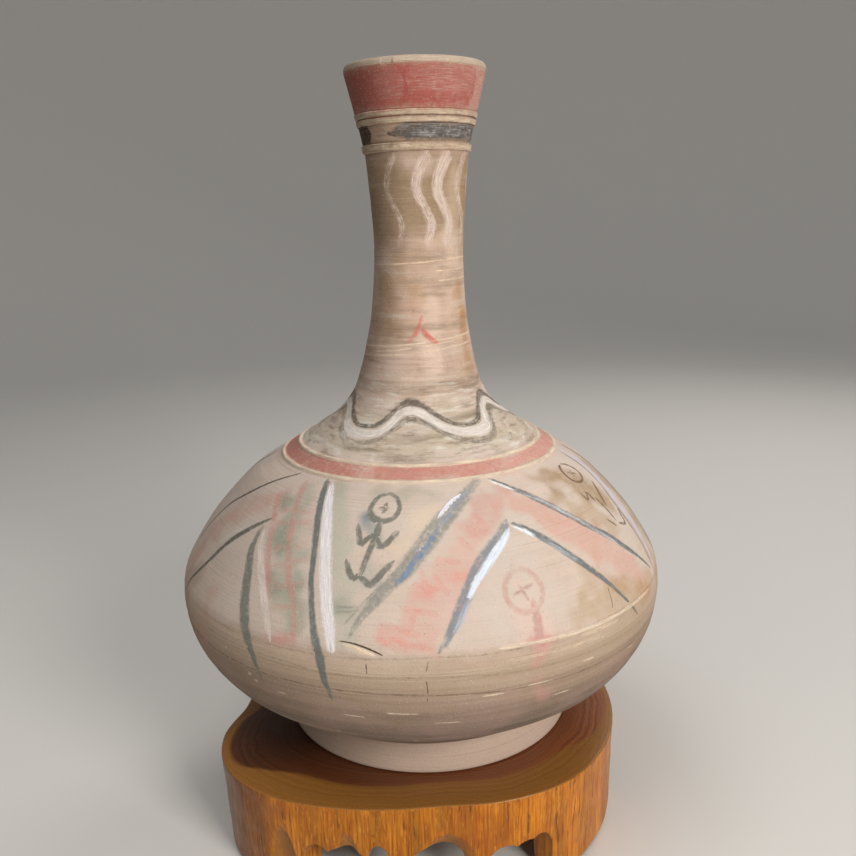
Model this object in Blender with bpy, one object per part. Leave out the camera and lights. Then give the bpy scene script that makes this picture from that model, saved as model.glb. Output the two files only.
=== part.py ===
"""A painted earthenware bottle with a tall neck, on its carved hardwood stand.

Two separate pieces: the bottle, one thrown and fired pot, hollow and open at
the mouth, and the stand, one thick slice of a log, hollowed from below so
that a scalloped apron and four feet are left.

Metres, +Z up. The origin is on the surface that the stand stands on, under
the bottle's axis. The front, where the paint is fullest, faces -Y.
"""

from bisect import bisect_right
from math import cos, pi, radians, sin, sqrt

import bmesh
import bpy

# Gap left between two pieces that touch
SEAT_GAP = 0.0003

# Bottle: overall sizes, with heights above the foot's base
BOTTLE_HEIGHT = 0.360
FOOT_RADIUS = 0.0821
FOOT_TAPER = 0.0047
FOOT_TOP_RADIUS = FOOT_RADIUS - FOOT_TAPER
FOOT_HEIGHT = 0.0155
FOOT_RIM_WIDTH = 0.009
FOOT_RECESS = 0.008
BASE_THICKNESS = 0.009
BELLY_RADIUS = 0.1352
BELLY_HEIGHT = 0.0864
NECK_RADIUS = 0.0241
# From the neck's narrowest place up to the collar
NECK_FLARE_LENGTH = 0.050
COLLAR_RADIUS = 0.0280
RIM_RADIUS = 0.0371
BODY_WALL = 0.0065
RIM_WALL = 0.0055
FOOT_CHAMFER = 0.001
# How far the flat floor inside stops short of the outside
FLOOR_INSET = 2 * BODY_WALL

# Turned rings of the collar, from the neck up: each one's height, the groove
# or step under it, and how far it stands proud of the plain flare
LOWER_RIDGE_HEIGHT = 0.0036
DARK_BAND_HEIGHT = 0.0082
MIDDLE_RIDGE_HEIGHT = 0.0026
UPPER_RIDGE_HEIGHT = 0.0024
RIM_BAND_HEIGHT = 0.0205
LIP_HEIGHT = 0.0038
GROOVE_HEIGHT = 0.0009
STEP_HEIGHT = 0.0004
GROOVE_DEPTH = 0.0006
RIDGE_PROUD = 0.0005
DARK_BAND_SUNK = 0.0003
COLLAR_RINGS = (
    (LOWER_RIDGE_HEIGHT, STEP_HEIGHT, RIDGE_PROUD),
    (DARK_BAND_HEIGHT, GROOVE_HEIGHT, -DARK_BAND_SUNK),
    (MIDDLE_RIDGE_HEIGHT, STEP_HEIGHT, RIDGE_PROUD),
    (UPPER_RIDGE_HEIGHT, GROOVE_HEIGHT, RIDGE_PROUD),
    (RIM_BAND_HEIGHT, STEP_HEIGHT, 0.0),
)
COLLAR_DEPTH = LIP_HEIGHT + sum(height + below for height, below, _ in COLLAR_RINGS)
NECK_TOP = BOTTLE_HEIGHT - COLLAR_DEPTH
NECK_WAIST = NECK_TOP - NECK_FLARE_LENGTH

# The two raised lines that hold the red ring on the shoulder
RED_RING_HEIGHT = 0.1577
RED_RING_RISE = 0.0057
RING_LINE_HALF_WIDTH = 0.0009
RING_LINE_PROUD = 0.0009

# Shape of the turned outline between those sizes: the share of the way in
# radius, and the share of the way in height
LOWER_BELLY = (
    (0.0, 0.0), (0.168, 0.078), (0.318, 0.162), (0.444, 0.238), (0.590, 0.317),
    (0.708, 0.391), (0.853, 0.543), (0.945, 0.695), (0.990, 0.848), (1.0, 1.0),
)
SHOULDER_AND_NECK = (
    (1.0, 0.0), (0.982, 0.060), (0.930, 0.120), (0.843, 0.200), (0.728, 0.281),
    (0.615, 0.345), (0.462, 0.401), (0.310, 0.461), (0.180, 0.521),
    (0.109, 0.581), (0.0745, 0.641), (0.044, 0.722), (0.017, 0.822), (0.0, 1.0),
)
NECK_FLARE_MIDDLE = 0.33
COLLAR_FLARE = 1.15
# The pot isn't quite true: how far the rim's middle stands to +X of the
# belly's, and the share of that at shares of the whole height
RIM_OFFSET = 0.0037
OUT_OF_TRUE = ((0.0, 0.70), (0.24, 0.0), (0.50, 0.30), (0.75, 0.92), (1.0, 1.0))

# Section of the lip, from the outside over the top: the share of the rim's
# wall inwards, and the share of the lip's height down
LIP_SECTION = ((0.0, 1.0), (0.12, 0.4), (0.42, 0.0), (0.80, 0.0), (1.0, 0.5))

# Stand: the slice, which reaches out past the bottle's foot by its margin
STAND_MARGIN = 0.0289
STAND_RADIUS = FOOT_RADIUS + STAND_MARGIN
STAND_HEIGHT = 0.0555
STAND_PLATE = 0.0145
STAND_WALL = 0.0130
# How much further in the wall's inside stands at the plate than at its edge
STAND_INSIDE_TAPER = 0.0043
STAND_EDGE_ROUND = 0.0012
STAND_FOOT_ROUND = 0.0030
STAND_TAPER = 0.0015
STAND_LOBE_TAPER = 0.0015
LOBE_AZIMUTH = -146.0
LOBE_HALF_WIDTH = 60.0

# Outline of the slice: azimuth in degrees, and the share of STAND_RADIUS
SLICE_OUTLINE = (
    (-175, 0.968), (-160, 1.095), (-146, 1.157), (-130, 1.132), (-112, 1.053),
    (-97, 1.000), (-85, 0.980), (-70, 1.015), (-50, 1.053), (-30, 1.038),
    (-10, 1.012), (5, 1.002), (38, 1.012), (72, 0.992), (106, 1.020),
    (138, 1.018), (164, 0.970),
)

# Apron, as deep as its longest points under the stand's top. The openings
# under it are arches: azimuth and half width in degrees, and the arch's top as
# a share of the apron's depth.
APRON_DEPTH = 0.0355
FRONT_ARCHES = (
    (-118.3, 3.8, 0.670), (-111.3, 6.0, 0.682), (-102.7, 3.2, 0.626),
    (-87.0, 7.9, 0.680), (-68.6, 4.6, 0.784), (-61.8, 5.2, 0.765),
    (-58.9, 3.6, 0.718),
)
SIDE_ARCHES = ((-13.0, 10.0, 0.732), (9.0, 12.0, 0.803))
SIDE_CENTRES = (10.0, 92.0, 174.0)
# Scoops gouged into the outer face above an arch: azimuth and half width in
# degrees, the scoop's top as a share of the apron's depth, and how far it is
# cut into the face as a share of the deepest cut
SCOOP_CUT = 0.0050
SCOOPS = (
    (-127.2, 4.2, 0.450, 0.8), (-110.4, 3.9, 0.390, 0.8), (-84.2, 9.0, 0.470, 1.0),
)

# Half the height over which the outline's slope is measured
SLOPE_REACH = BOTTLE_HEIGHT / 1000

# Facets
BOTTLE_SEGMENTS = 48
BELLY_ROWS = 7
SHOULDER_ROWS = 8
NECK_ROWS = 9
INSIDE_ROWS = 14
# Least height of a row of the inside over its floor
INSIDE_ROW_RISE = 0.0016
# Rows of the neck close up towards the shoulder, where it bends most
NECK_ROW_CROWDING = 1.6
ARCH_COLUMNS = 6
APRON_ROWS = 6
# Degrees between columns on a plain stretch, and at a foot's upright side
PLAIN_COLUMN_SPACING = 6.0
UPRIGHT_COLUMN_SPACING = 0.12


def hermite(points, x):
    """Height of a smooth curve through (x, y) points, with x rising."""
    xs = [point[0] for point in points]
    last = len(points) - 2
    i = min(max(bisect_right(xs, x) - 1, 0), last)
    (x0, y0), (x1, y1) = points[i], points[i + 1]

    def slope(k):
        low, high = max(k - 1, 0), min(k + 1, len(points) - 1)
        return (points[high][1] - points[low][1]) / (points[high][0] - points[low][0])

    span = x1 - x0
    t = (x - x0) / span
    return ((2 * t**3 - 3 * t**2 + 1) * y0 + (t**3 - 2 * t**2 + t) * span * slope(i)
            + (3 * t**2 - 2 * t**3) * y1 + (t**3 - t**2) * span * slope(i + 1))


def spread(low, high, count):
    """Evenly spaced values from low up to, but not including, high."""
    return [low + (high - low) * k / count for k in range(count)]


def body_outline():
    """(height, radius) points of the pot's outside, from its foot to its collar."""
    points = []
    for share_r, share_z in LOWER_BELLY:
        points.append((FOOT_HEIGHT + (BELLY_HEIGHT - FOOT_HEIGHT) * share_z,
                       FOOT_TOP_RADIUS + (BELLY_RADIUS - FOOT_TOP_RADIUS) * share_r))
    for share_r, share_z in SHOULDER_AND_NECK[1:]:
        points.append((BELLY_HEIGHT + (NECK_WAIST - BELLY_HEIGHT) * share_z,
                       NECK_RADIUS + (BELLY_RADIUS - NECK_RADIUS) * share_r))
    points.append(((NECK_WAIST + NECK_TOP) / 2,
                   NECK_RADIUS + (COLLAR_RADIUS - NECK_RADIUS) * NECK_FLARE_MIDDLE))
    points.append((NECK_TOP, COLLAR_RADIUS - GROOVE_DEPTH))
    return points


def body_radius(z):
    return hermite(body_outline(), z)


def square_to_body(z, distance):
    """(radius, height) at a distance out from the body's outline, square to it."""
    slope = (body_radius(z + SLOPE_REACH) - body_radius(z - SLOPE_REACH)) / (2 * SLOPE_REACH)
    length = sqrt(1 + slope**2)
    return body_radius(z) + distance / length, z - distance * slope / length


def ring_line(z):
    """Rows of one raised line on the shoulder."""
    low, high = z - RING_LINE_HALF_WIDTH, z + RING_LINE_HALF_WIDTH
    return [(body_radius(low), low), square_to_body(z, RING_LINE_PROUD),
            (body_radius(high), high)]


def foot_rows():
    """(radius, height) from the middle of the recessed underside round the foot."""
    inner = FOOT_RADIUS - FOOT_RIM_WIDTH
    return [(0.0, FOOT_RECESS), (inner - FOOT_CHAMFER, FOOT_RECESS), (inner, 0.0),
            (FOOT_RADIUS - FOOT_CHAMFER, 0.0), (FOOT_RADIUS, FOOT_CHAMFER)]


def body_rows():
    """(radius, height) up the belly, shoulder and neck."""
    foot_bend = (BELLY_HEIGHT - FOOT_HEIGHT) * LOWER_BELLY[1][1]
    below_ring = RED_RING_HEIGHT - 2 * RING_LINE_HALF_WIDTH
    above_ring = RED_RING_HEIGHT + RED_RING_RISE + 2 * RING_LINE_HALF_WIDTH
    heights = [FOOT_HEIGHT, FOOT_HEIGHT + foot_bend]
    heights += spread(FOOT_HEIGHT + 2 * foot_bend, BELLY_HEIGHT, BELLY_ROWS)
    heights += spread(BELLY_HEIGHT, below_ring, SHOULDER_ROWS)
    rows = [(body_radius(z), z) for z in heights]
    rows += ring_line(RED_RING_HEIGHT) + ring_line(RED_RING_HEIGHT + RED_RING_RISE)
    for k in range(1, NECK_ROWS + 1):
        z = above_ring + (NECK_TOP - above_ring) * (k / NECK_ROWS)**NECK_ROW_CROWDING
        rows.append((body_radius(z), z))
    return rows


def collar_radius(z):
    """Plain flare of the collar and rim, without their rings."""
    share = (z - NECK_TOP) / (COLLAR_DEPTH - LIP_HEIGHT)
    return COLLAR_RADIUS + (RIM_RADIUS - COLLAR_RADIUS) * min(share, 1.0)**COLLAR_FLARE


def collar_rows():
    """(radius, height) up the collar's rings and over the lip."""
    rows = []
    z = NECK_TOP
    for height, below, proud in COLLAR_RINGS:
        if below == GROOVE_HEIGHT:
            middle = z + below / 2
            rows.append((collar_radius(middle) - GROOVE_DEPTH, middle))
        z += below
        rows.append((collar_radius(z) + proud, z))
        z += height
        rows.append((collar_radius(z) + proud, z))
    for share_in, share_down in LIP_SECTION[1:]:
        rows.append((RIM_RADIUS - RIM_WALL * share_in, BOTTLE_HEIGHT - LIP_HEIGHT * share_down))
    return rows


def inside_rows():
    """(radius, height) down the inside to the middle of the floor."""
    floor = FOOT_RECESS + BASE_THICKNESS
    rows = [(COLLAR_RADIUS - RIM_WALL, NECK_TOP)]
    for k in range(INSIDE_ROWS):
        share = 1 - (k + 0.5) / INSIDE_ROWS
        inside = square_to_body(floor + (NECK_TOP - floor) * share, -BODY_WALL)
        if floor + INSIDE_ROW_RISE < inside[1] < rows[-1][1]:
            rows.append(inside)
    rows += [(body_radius(floor) - FLOOR_INSET, floor), (0.0, floor)]
    return rows


def lean(z):
    """How far the pot's axis stands to +X at a height."""
    return RIM_OFFSET * hermite(OUT_OF_TRUE, min(z / BOTTLE_HEIGHT, 1.0))


def turn(name, profile, segments):
    """A closed solid turned from a profile that starts and ends on its axis."""
    mesh = bpy.data.meshes.new(name)
    bm = bmesh.new()
    rings = []
    for radius, z in profile:
        ring = []
        for k in range(segments if radius > 0.0 else 1):
            angle = 2 * pi * k / segments
            ring.append(bm.verts.new((radius * cos(angle) + lean(z), radius * sin(angle), z)))
        rings.append(ring)
    skin(bm, rings)
    bm.to_mesh(mesh)
    bm.free()
    return mesh


def skin(bm, rings):
    """Faces between neighbouring rings; a ring of one point closes to a fan."""
    for lower, upper in zip(rings, rings[1:]):
        count = max(len(lower), len(upper))
        for k in range(count):
            after = (k + 1) % count
            corners = [lower[k % len(lower)], lower[after % len(lower)],
                       upper[after % len(upper)], upper[k % len(upper)]]
            bm.faces.new(list(dict.fromkeys(corners)))
    bmesh.ops.recalc_face_normals(bm, faces=bm.faces)


def bump(distance, half_width):
    """1 in the middle, falling smoothly to 0 at half_width."""
    share = min(abs(distance) / half_width, 1.0)
    return (1 - share**2)**2


def around(azimuth, centre):
    """Signed distance between two azimuths, in degrees."""
    return (azimuth - centre + 180.0) % 360.0 - 180.0


def slice_radius(azimuth):
    """Radius of the slice's top edge."""
    lap = [(a - 360, share) for a, share in SLICE_OUTLINE[-2:]]
    lap += list(SLICE_OUTLINE)
    lap += [(a + 360, share) for a, share in SLICE_OUTLINE[:2]]
    start = SLICE_OUTLINE[0][0]
    return STAND_RADIUS * hermite(lap, (azimuth - start) % 360.0 + start)


def aprons():
    """Each run of apron between two feet, as its arches."""
    runs = [list(FRONT_ARCHES)]
    for middle in SIDE_CENTRES:
        runs.append([(middle + offset, half, top) for offset, half, top in SIDE_ARCHES])
    return runs


def lower_edge(azimuth):
    """Height of the stand's lower edge: 0 under a foot."""
    for run in aprons():
        start = run[0][0] - run[0][1]
        length = run[-1][0] + run[-1][1] - start
        if not 0.0 < (azimuth - start) % 360.0 < length:
            continue
        depth = 1.0
        for centre, half, top in run:
            share = min(abs(around(azimuth, centre)) / half, 1.0)
            depth = min(depth, 1 - (1 - top) * sqrt(1 - share**2))
        return STAND_HEIGHT - APRON_DEPTH * depth
    return 0.0


def stand_radius(azimuth, z):
    """Radius of the stand's outer face."""
    depth = STAND_HEIGHT - z
    lobe = bump(around(azimuth, LOBE_AZIMUTH), LOBE_HALF_WIDTH)
    radius = slice_radius(azimuth) - (STAND_TAPER + STAND_LOBE_TAPER * lobe) * depth / STAND_HEIGHT
    for centre, half, top, cut in SCOOPS:
        across = sqrt(bump(around(azimuth, centre), half))
        ceiling = 1 - (1 - top) * across
        share = min(max(depth / APRON_DEPTH - ceiling, 0.0) / (1 - top), 1.0)
        # The gouge bites in steeply at the scoop's edge and runs out flat
        radius -= SCOOP_CUT * cut * across * (1 - (1 - share)**2)
    return radius


def stand_columns():
    """Azimuths of the stand's columns: close at the carving, wide elsewhere."""
    angles = []
    for centre, half, _ in [arch for run in aprons() for arch in run]:
        # Columns gather at an arch's ends, where its edge is steepest
        angles += [centre - half * cos(pi * k / ARCH_COLUMNS) for k in range(ARCH_COLUMNS + 1)]
        outside = half + UPRIGHT_COLUMN_SPACING
        angles += [centre - outside, centre + outside]
    for centre, half, _, _ in SCOOPS:
        angles += [centre + half * share for share in (-1.0, -0.5, 0.0, 0.5, 1.0)]
    spaced = []
    for angle in sorted(around(angle, 0.0) for angle in angles):
        if not spaced or angle - spaced[-1] > UPRIGHT_COLUMN_SPACING / 2:
            spaced.append(angle)
    columns = []
    for here, after in zip(spaced, spaced[1:] + [spaced[0] + 360.0]):
        columns += spread(here, after, max(1, round((after - here) / PLAIN_COLUMN_SPACING)))
    return columns


def stand_section(azimuth):
    """(radius, height) of the stand at an azimuth, from its top edge down the
    outside, under the edge and up the inside."""
    edge = lower_edge(azimuth)
    ceiling = STAND_HEIGHT - STAND_PLATE
    rounding = STAND_FOOT_ROUND if edge == 0.0 else STAND_EDGE_ROUND
    high = STAND_HEIGHT - STAND_EDGE_ROUND
    low = edge + rounding
    rows = [(slice_radius(azimuth) - STAND_EDGE_ROUND, STAND_HEIGHT)]
    for k in range(APRON_ROWS + 1):
        z = high + (low - high) * k / APRON_ROWS
        rows.append((stand_radius(azimuth, z), z))
    foot = stand_radius(azimuth, edge)
    inside = foot - STAND_WALL
    rows += [(foot - rounding, edge), (inside, edge),
             (inside - STAND_INSIDE_TAPER / 2, (edge + ceiling) / 2),
             (inside - STAND_INSIDE_TAPER, ceiling)]
    return rows


def stand_mesh(name):
    """The stand: a top plate, an apron cut into arches, and feet."""
    mesh = bpy.data.meshes.new(name)
    bm = bmesh.new()
    azimuths = stand_columns()
    sections = [stand_section(azimuth) for azimuth in azimuths]
    rings = [[bm.verts.new((0, 0, STAND_HEIGHT))]]
    for row in zip(*sections):
        ring = []
        for azimuth, (radius, z) in zip(azimuths, row):
            angle = radians(azimuth)
            ring.append(bm.verts.new((radius * cos(angle), radius * sin(angle), z)))
        rings.append(ring)
    rings.append([bm.verts.new((0, 0, STAND_HEIGHT - STAND_PLATE))])
    skin(bm, rings)
    bm.to_mesh(mesh)
    bm.free()
    return mesh


def finish_material(name, colour, roughness):
    material = bpy.data.materials.new(name)
    material.use_nodes = True
    shader = material.node_tree.nodes["Principled BSDF"]
    shader.inputs["Base Color"].default_value = (*colour, 1.0)
    shader.inputs["Roughness"].default_value = roughness
    shader.inputs["Metallic"].default_value = 0.0
    return material


def add_piece(name, mesh, material, height, sharp_degrees):
    mesh.materials.append(material)
    mesh.shade_smooth()
    mesh.set_sharp_from_angle(angle=radians(sharp_degrees))
    piece = bpy.data.objects.new(name, mesh)
    piece.location.z = height
    bpy.context.scene.collection.objects.link(piece)
    return piece


def add_bottle():
    """The pot: thrown earthenware, unglazed, painted after firing."""
    profile = foot_rows() + body_rows() + collar_rows() + inside_rows()
    clay = finish_material("painted_earthenware", (0.42, 0.31, 0.22), 0.85)
    mesh = turn("bottle", profile, BOTTLE_SEGMENTS)
    add_piece("bottle", mesh, clay, STAND_HEIGHT + SEAT_GAP, 35)


def add_stand():
    """The stand: a slice of a hardwood log, carved and lacquered."""
    wood = finish_material("lacquered_hardwood", (0.30, 0.12, 0.035), 0.35)
    add_piece("stand", stand_mesh("stand"), wood, 0.0, 40)


for old in list(bpy.data.objects):
    bpy.data.objects.remove(old)
add_stand()
add_bottle()
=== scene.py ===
# A painted earthenware bottle with a tall neck, on a carved hardwood stand.
# Metres, +Z up, the front faces -Y. Sizes marked mm are in millimetres.
from math import cos, pi, radians, sin, sqrt, tau

import bpy
import numpy as np
from mathutils import Matrix, Vector, noise


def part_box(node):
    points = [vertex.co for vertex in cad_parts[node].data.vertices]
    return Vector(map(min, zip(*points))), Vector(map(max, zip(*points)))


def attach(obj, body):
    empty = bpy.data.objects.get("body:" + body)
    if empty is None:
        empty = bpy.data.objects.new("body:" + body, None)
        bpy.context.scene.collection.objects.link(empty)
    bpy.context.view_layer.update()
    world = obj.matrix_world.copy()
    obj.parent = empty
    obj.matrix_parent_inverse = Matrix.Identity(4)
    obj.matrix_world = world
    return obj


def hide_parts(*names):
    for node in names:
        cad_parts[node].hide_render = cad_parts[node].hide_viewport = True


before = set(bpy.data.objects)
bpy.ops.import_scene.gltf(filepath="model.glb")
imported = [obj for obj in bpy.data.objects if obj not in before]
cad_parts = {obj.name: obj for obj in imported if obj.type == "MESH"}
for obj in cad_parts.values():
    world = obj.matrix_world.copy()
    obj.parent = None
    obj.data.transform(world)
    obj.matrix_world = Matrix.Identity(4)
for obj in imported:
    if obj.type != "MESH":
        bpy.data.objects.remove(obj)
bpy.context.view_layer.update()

# The stand
# One thick slice of a hardwood log, sawn across the grain. It is hollowed
# from below, so that a scalloped apron and four feet are left, then sanded
# and lacquered. The bottle only rests on it.
MM = 0.001
stand_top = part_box("stand")[1].z / MM
SLICE_RADIUS = 111.0
PLATE_THICKNESS = 14.5
APRON_WALL = 13.0
APRON_INSIDE_TAPER = 4.3
TOP_EDGE_ROUND = 1.2
FOOT_EDGE_ROUND = 3.0
FACE_TAPER = 1.5
LOBE_TAPER = 1.5
LOBE_AZIMUTH = -146.0
LOBE_HALF_WIDTH = 60.0
# The log's outline: azimuth in degrees from +X, and share of the slice's radius
SLICE_OUTLINE = (
    (-175, 0.968), (-160, 1.095), (-146, 1.157), (-130, 1.132), (-112, 1.053),
    (-97, 1.000), (-85, 0.980), (-70, 1.015), (-50, 1.053), (-30, 1.038),
    (-10, 1.012), (5, 1.002), (38, 1.012), (72, 0.992), (106, 1.020),
    (138, 1.018), (164, 0.970), (185, 0.968),
)
# Arches under the apron: azimuth, half width in degrees, and the arch's top
# as a share of the apron's depth
APRON_DEPTH = 35.5
FRONT_ARCHES = (
    (-118.3, 3.8, 0.670), (-111.3, 6.0, 0.682), (-102.7, 3.2, 0.626),
    (-87.0, 7.9, 0.680), (-68.6, 4.6, 0.784), (-61.8, 5.2, 0.765),
    (-58.9, 3.6, 0.718),
)
SIDE_ARCHES = ((-13.0, 10.0, 0.732), (9.0, 12.0, 0.803))
SIDE_CENTRES = (10.0, 92.0, 174.0)
# Scoops of the gouge above an arch: azimuth, half width, top, share of the cut
SCOOP_CUT = 5.0
SCOOPS = ((-127.2, 4.2, 0.450, 0.8), (-110.4, 3.9, 0.390, 0.8), (-84.2, 9.0, 0.470, 1.0))
# Two short strokes where the gouge slipped: azimuth, half width, depth under
# the top, and cut, mm
TOOL_NICKS = ((-104.0, 2.4, 15.6, 0.4), (-102.5, 3.0, 20.2, 0.4))
NICK_HALF_HEIGHT = 1.2


def smooth(points, x):
    """A smooth curve through (x, y) points, read at every x."""
    xs, ys = np.array(points, float).T
    index = np.arange(len(xs))
    low, high = np.maximum(index - 1, 0), np.minimum(index + 1, len(xs) - 1)
    slopes = (ys[high] - ys[low]) / (xs[high] - xs[low])
    i = np.clip(np.searchsorted(xs, x, "right") - 1, 0, len(xs) - 2)
    span = xs[i + 1] - xs[i]
    t = (x - xs[i]) / span
    return ((2 * t**3 - 3 * t**2 + 1) * ys[i] + (t**3 - 2 * t**2 + t) * span * slopes[i]
            + (3 * t**2 - 2 * t**3) * ys[i + 1] + (t**3 - t**2) * span * slopes[i + 1])


def around(azimuth, centre):
    """Signed distance between azimuths, in degrees."""
    return (azimuth - centre + 180.0) % 360.0 - 180.0


def bump(distance, half_width):
    """1 in the middle, falling smoothly to 0 at half_width."""
    share = np.minimum(np.abs(distance) / half_width, 1.0)
    return (1 - share**2)**2


def slice_radius(azimuth):
    """Radius of the slice's top edge."""
    start = SLICE_OUTLINE[0][0]
    lap = [(a - 360, share) for a, share in SLICE_OUTLINE[-3:-1]]
    lap += list(SLICE_OUTLINE)[:-1]
    lap += [(a + 360, share) for a, share in SLICE_OUTLINE[:2]]
    return SLICE_RADIUS * smooth(lap, (azimuth - start) % 360.0 + start)


aprons = [FRONT_ARCHES]
for middle in SIDE_CENTRES:
    aprons.append([(middle + offset, half, top) for offset, half, top in SIDE_ARCHES])


def lower_edge(azimuth):
    """Height of the stand's lower edge: 0 under a foot."""
    height = np.zeros_like(azimuth)
    for arches in aprons:
        start = arches[0][0] - arches[0][1]
        length = arches[-1][0] + arches[-1][1] - start
        way = (azimuth - start) % 360.0
        depth = np.ones_like(azimuth)
        for centre, half, top in arches:
            share = np.minimum(np.abs(around(azimuth, centre)) / half, 1.0)
            depth = np.minimum(depth, 1 - (1 - top) * np.sqrt(1 - share**2))
        height = np.where((way > 0) & (way < length), stand_top - APRON_DEPTH * depth, height)
    return height


def stand_face(azimuth, z):
    """Radius of the stand's outer face."""
    depth = stand_top - z
    lobe = bump(around(azimuth, LOBE_AZIMUTH), LOBE_HALF_WIDTH)
    radius = slice_radius(azimuth) - (FACE_TAPER + LOBE_TAPER * lobe) * depth / stand_top
    for centre, half, top, cut in SCOOPS:
        across = np.sqrt(bump(around(azimuth, centre), half))
        ceiling = 1 - (1 - top) * across
        share = np.clip((depth / APRON_DEPTH - ceiling) / (1 - top), 0.0, 1.0)
        radius = radius - SCOOP_CUT * cut * across * (1 - (1 - share)**2)
    for centre, half, down, cut in TOOL_NICKS:
        nick = bump(around(azimuth, centre), half) * bump(depth - down, NICK_HALF_HEIGHT)
        radius = radius - cut * nick
    return radius


# Columns run down the slice at every half degree, and close up at the arches
COLUMN_STEP = 0.5
ARCH_COLUMNS = 12
CLOSEST_COLUMNS = 0.04
PAST_ARCH = 0.1
columns = set(np.arange(-180.0, 180.0, COLUMN_STEP))
for centre, half, top in [arch for arches in aprons for arch in arches]:
    for k in range(ARCH_COLUMNS + 1):
        columns.add(around(centre - half * cos(pi * k / ARCH_COLUMNS), 0.0))
    for side in (-1, 1):
        columns.add(around(centre + side * (half + PAST_ARCH), 0.0))
azimuths = np.array(sorted(columns))
azimuths = azimuths[np.append(True, np.diff(azimuths) > CLOSEST_COLUMNS)]
edge = lower_edge(azimuths)
rim = slice_radius(azimuths)
corner = np.where(edge == 0.0, FOOT_EDGE_ROUND, TOP_EDGE_ROUND)
high, low = stand_top - TOP_EDGE_ROUND, edge + corner
# Rows: over the top, round its edge, down the face, round the lower edge, up
# the inside and in to the middle
TOP_ROWS = 22
FACE_ROWS = 24
rows = []
for share in np.linspace(0.0, 1.0, TOP_ROWS)[1:-1]:
    rows.append((share * (rim - TOP_EDGE_ROUND), stand_top))
for turn in np.linspace(0.0, 90.0, 5)[:-1]:
    inset = TOP_EDGE_ROUND * (1 - sin(radians(turn)))
    rows.append((rim - inset, high + TOP_EDGE_ROUND * cos(radians(turn))))
for share in np.linspace(0.0, 1.0, FACE_ROWS):
    z = high + (low - high) * share
    rows.append((stand_face(azimuths, z), z))
foot = stand_face(azimuths, edge)
for turn in (30.0, 60.0, 90.0):
    rows.append((foot - corner * (1 - cos(radians(turn))), low - corner * sin(radians(turn))))
inside = foot - APRON_WALL
ceiling = stand_top - PLATE_THICKNESS
for share in (0.0, 0.3, 0.7, 1.0):
    rows.append((inside - APRON_INSIDE_TAPER * share, edge + (ceiling - edge) * share))
for share in (0.8, 0.6, 0.4, 0.2):
    rows.append(((inside - APRON_INSIDE_TAPER) * share, ceiling))

turned = np.radians(azimuths)
points = [(0.0, 0.0, stand_top)]
for radius, z in rows:
    ring = np.stack([radius * np.cos(turned), radius * np.sin(turned), z + 0 * turned], 1)
    points += ring.tolist()
points.append((0.0, 0.0, ceiling))
count = len(azimuths)
faces = []
for k in range(count):
    after = (k + 1) % count
    faces.append((0, 1 + k, 1 + after))
    for row in range(len(rows) - 1):
        start = 1 + row * count
        faces.append((start + k, start + count + k, start + count + after, start + after))
    last = 1 + (len(rows) - 1) * count
    faces.append((last + k, len(points) - 1, last + after))

# The gouge left the faces a little uneven. Only points on the outer face move.
WAVINESS = 0.35
OUTER_SHARE = 0.9
STAND_CREASE = radians(38)
placed = []
for x, y, z in points:
    reach = sqrt(x * x + y * y)
    if reach > SLICE_RADIUS * OUTER_SHARE and z < stand_top - TOP_EDGE_ROUND:
        push = 1 - WAVINESS * (0.5 + noise.noise(Vector((x * 0.09, y * 0.09, z * 0.12)))) / reach
        x, y = x * push, y * push
    placed.append((x * MM, y * MM, z * MM))
stand_mesh = bpy.data.meshes.new("carved_stand")
stand_mesh.from_pydata(placed, [], faces)
stand_mesh.update()
stand_mesh.shade_smooth()
stand_mesh.set_sharp_from_angle(angle=STAND_CREASE)
stand = bpy.data.objects.new("carved_stand", stand_mesh)
bpy.context.scene.collection.objects.link(stand)

# How far out each point lies in the log, mm: growth lines follow the bark
x, y, z = np.array(points).T
reach = np.hypot(x, y)
azimuth = np.degrees(np.arctan2(y, x))
grown = reach / slice_radius(azimuth) * SLICE_RADIUS
# The dark heartwood ends this far out in the log: azimuth, mm of growth
HEART_EDGE = (
    (-175, 101), (-160, 106), (-147, 105.5), (-138, 98), (-130, 92.5), (-110, 92.3), (-90, 92),
    (-57, 92), (-42, 93.6), (-28, 101), (-10, 106.5), (20, 103), (60, 95), (100, 100), (140, 96),
    (185, 101),
)
# Where the gouge cut in, the face is painted darker as shade, with a soft edge
CUT_EDGE = 4
CUT_FROM = 0.8
depth = (stand_top - z) / APRON_DEPTH
in_cut = np.zeros(len(points))
for centre, half, top, cut in SCOOPS:
    across = np.sqrt(bump(around(azimuth, centre), half))
    share = np.clip((depth - 1 + (1 - top) * across) / (1 - top), 0.0, 1.0)
    in_cut = np.maximum(in_cut, np.clip(CUT_EDGE * across * share, 0.0, 1.0))
in_cut *= reach > SLICE_RADIUS * CUT_FROM
for name, values in (("growth", grown), ("sapwood", grown - smooth(HEART_EDGE, azimuth)),
                     ("scooped", in_cut)):
    layer = stand_mesh.attributes.new(name, "FLOAT", "POINT")
    layer.data.foreach_set("value", values.astype(np.float32))


def linear(hex_colour):
    """An sRGB hex colour as the linear values that Blender takes."""
    values = [int(hex_colour[k:k + 2], 16) / 255 for k in (1, 3, 5)]
    return [v / 12.92 if v <= 0.04045 else ((v + 0.055) / 1.055)**2.4 for v in values] + [1.0]


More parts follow.
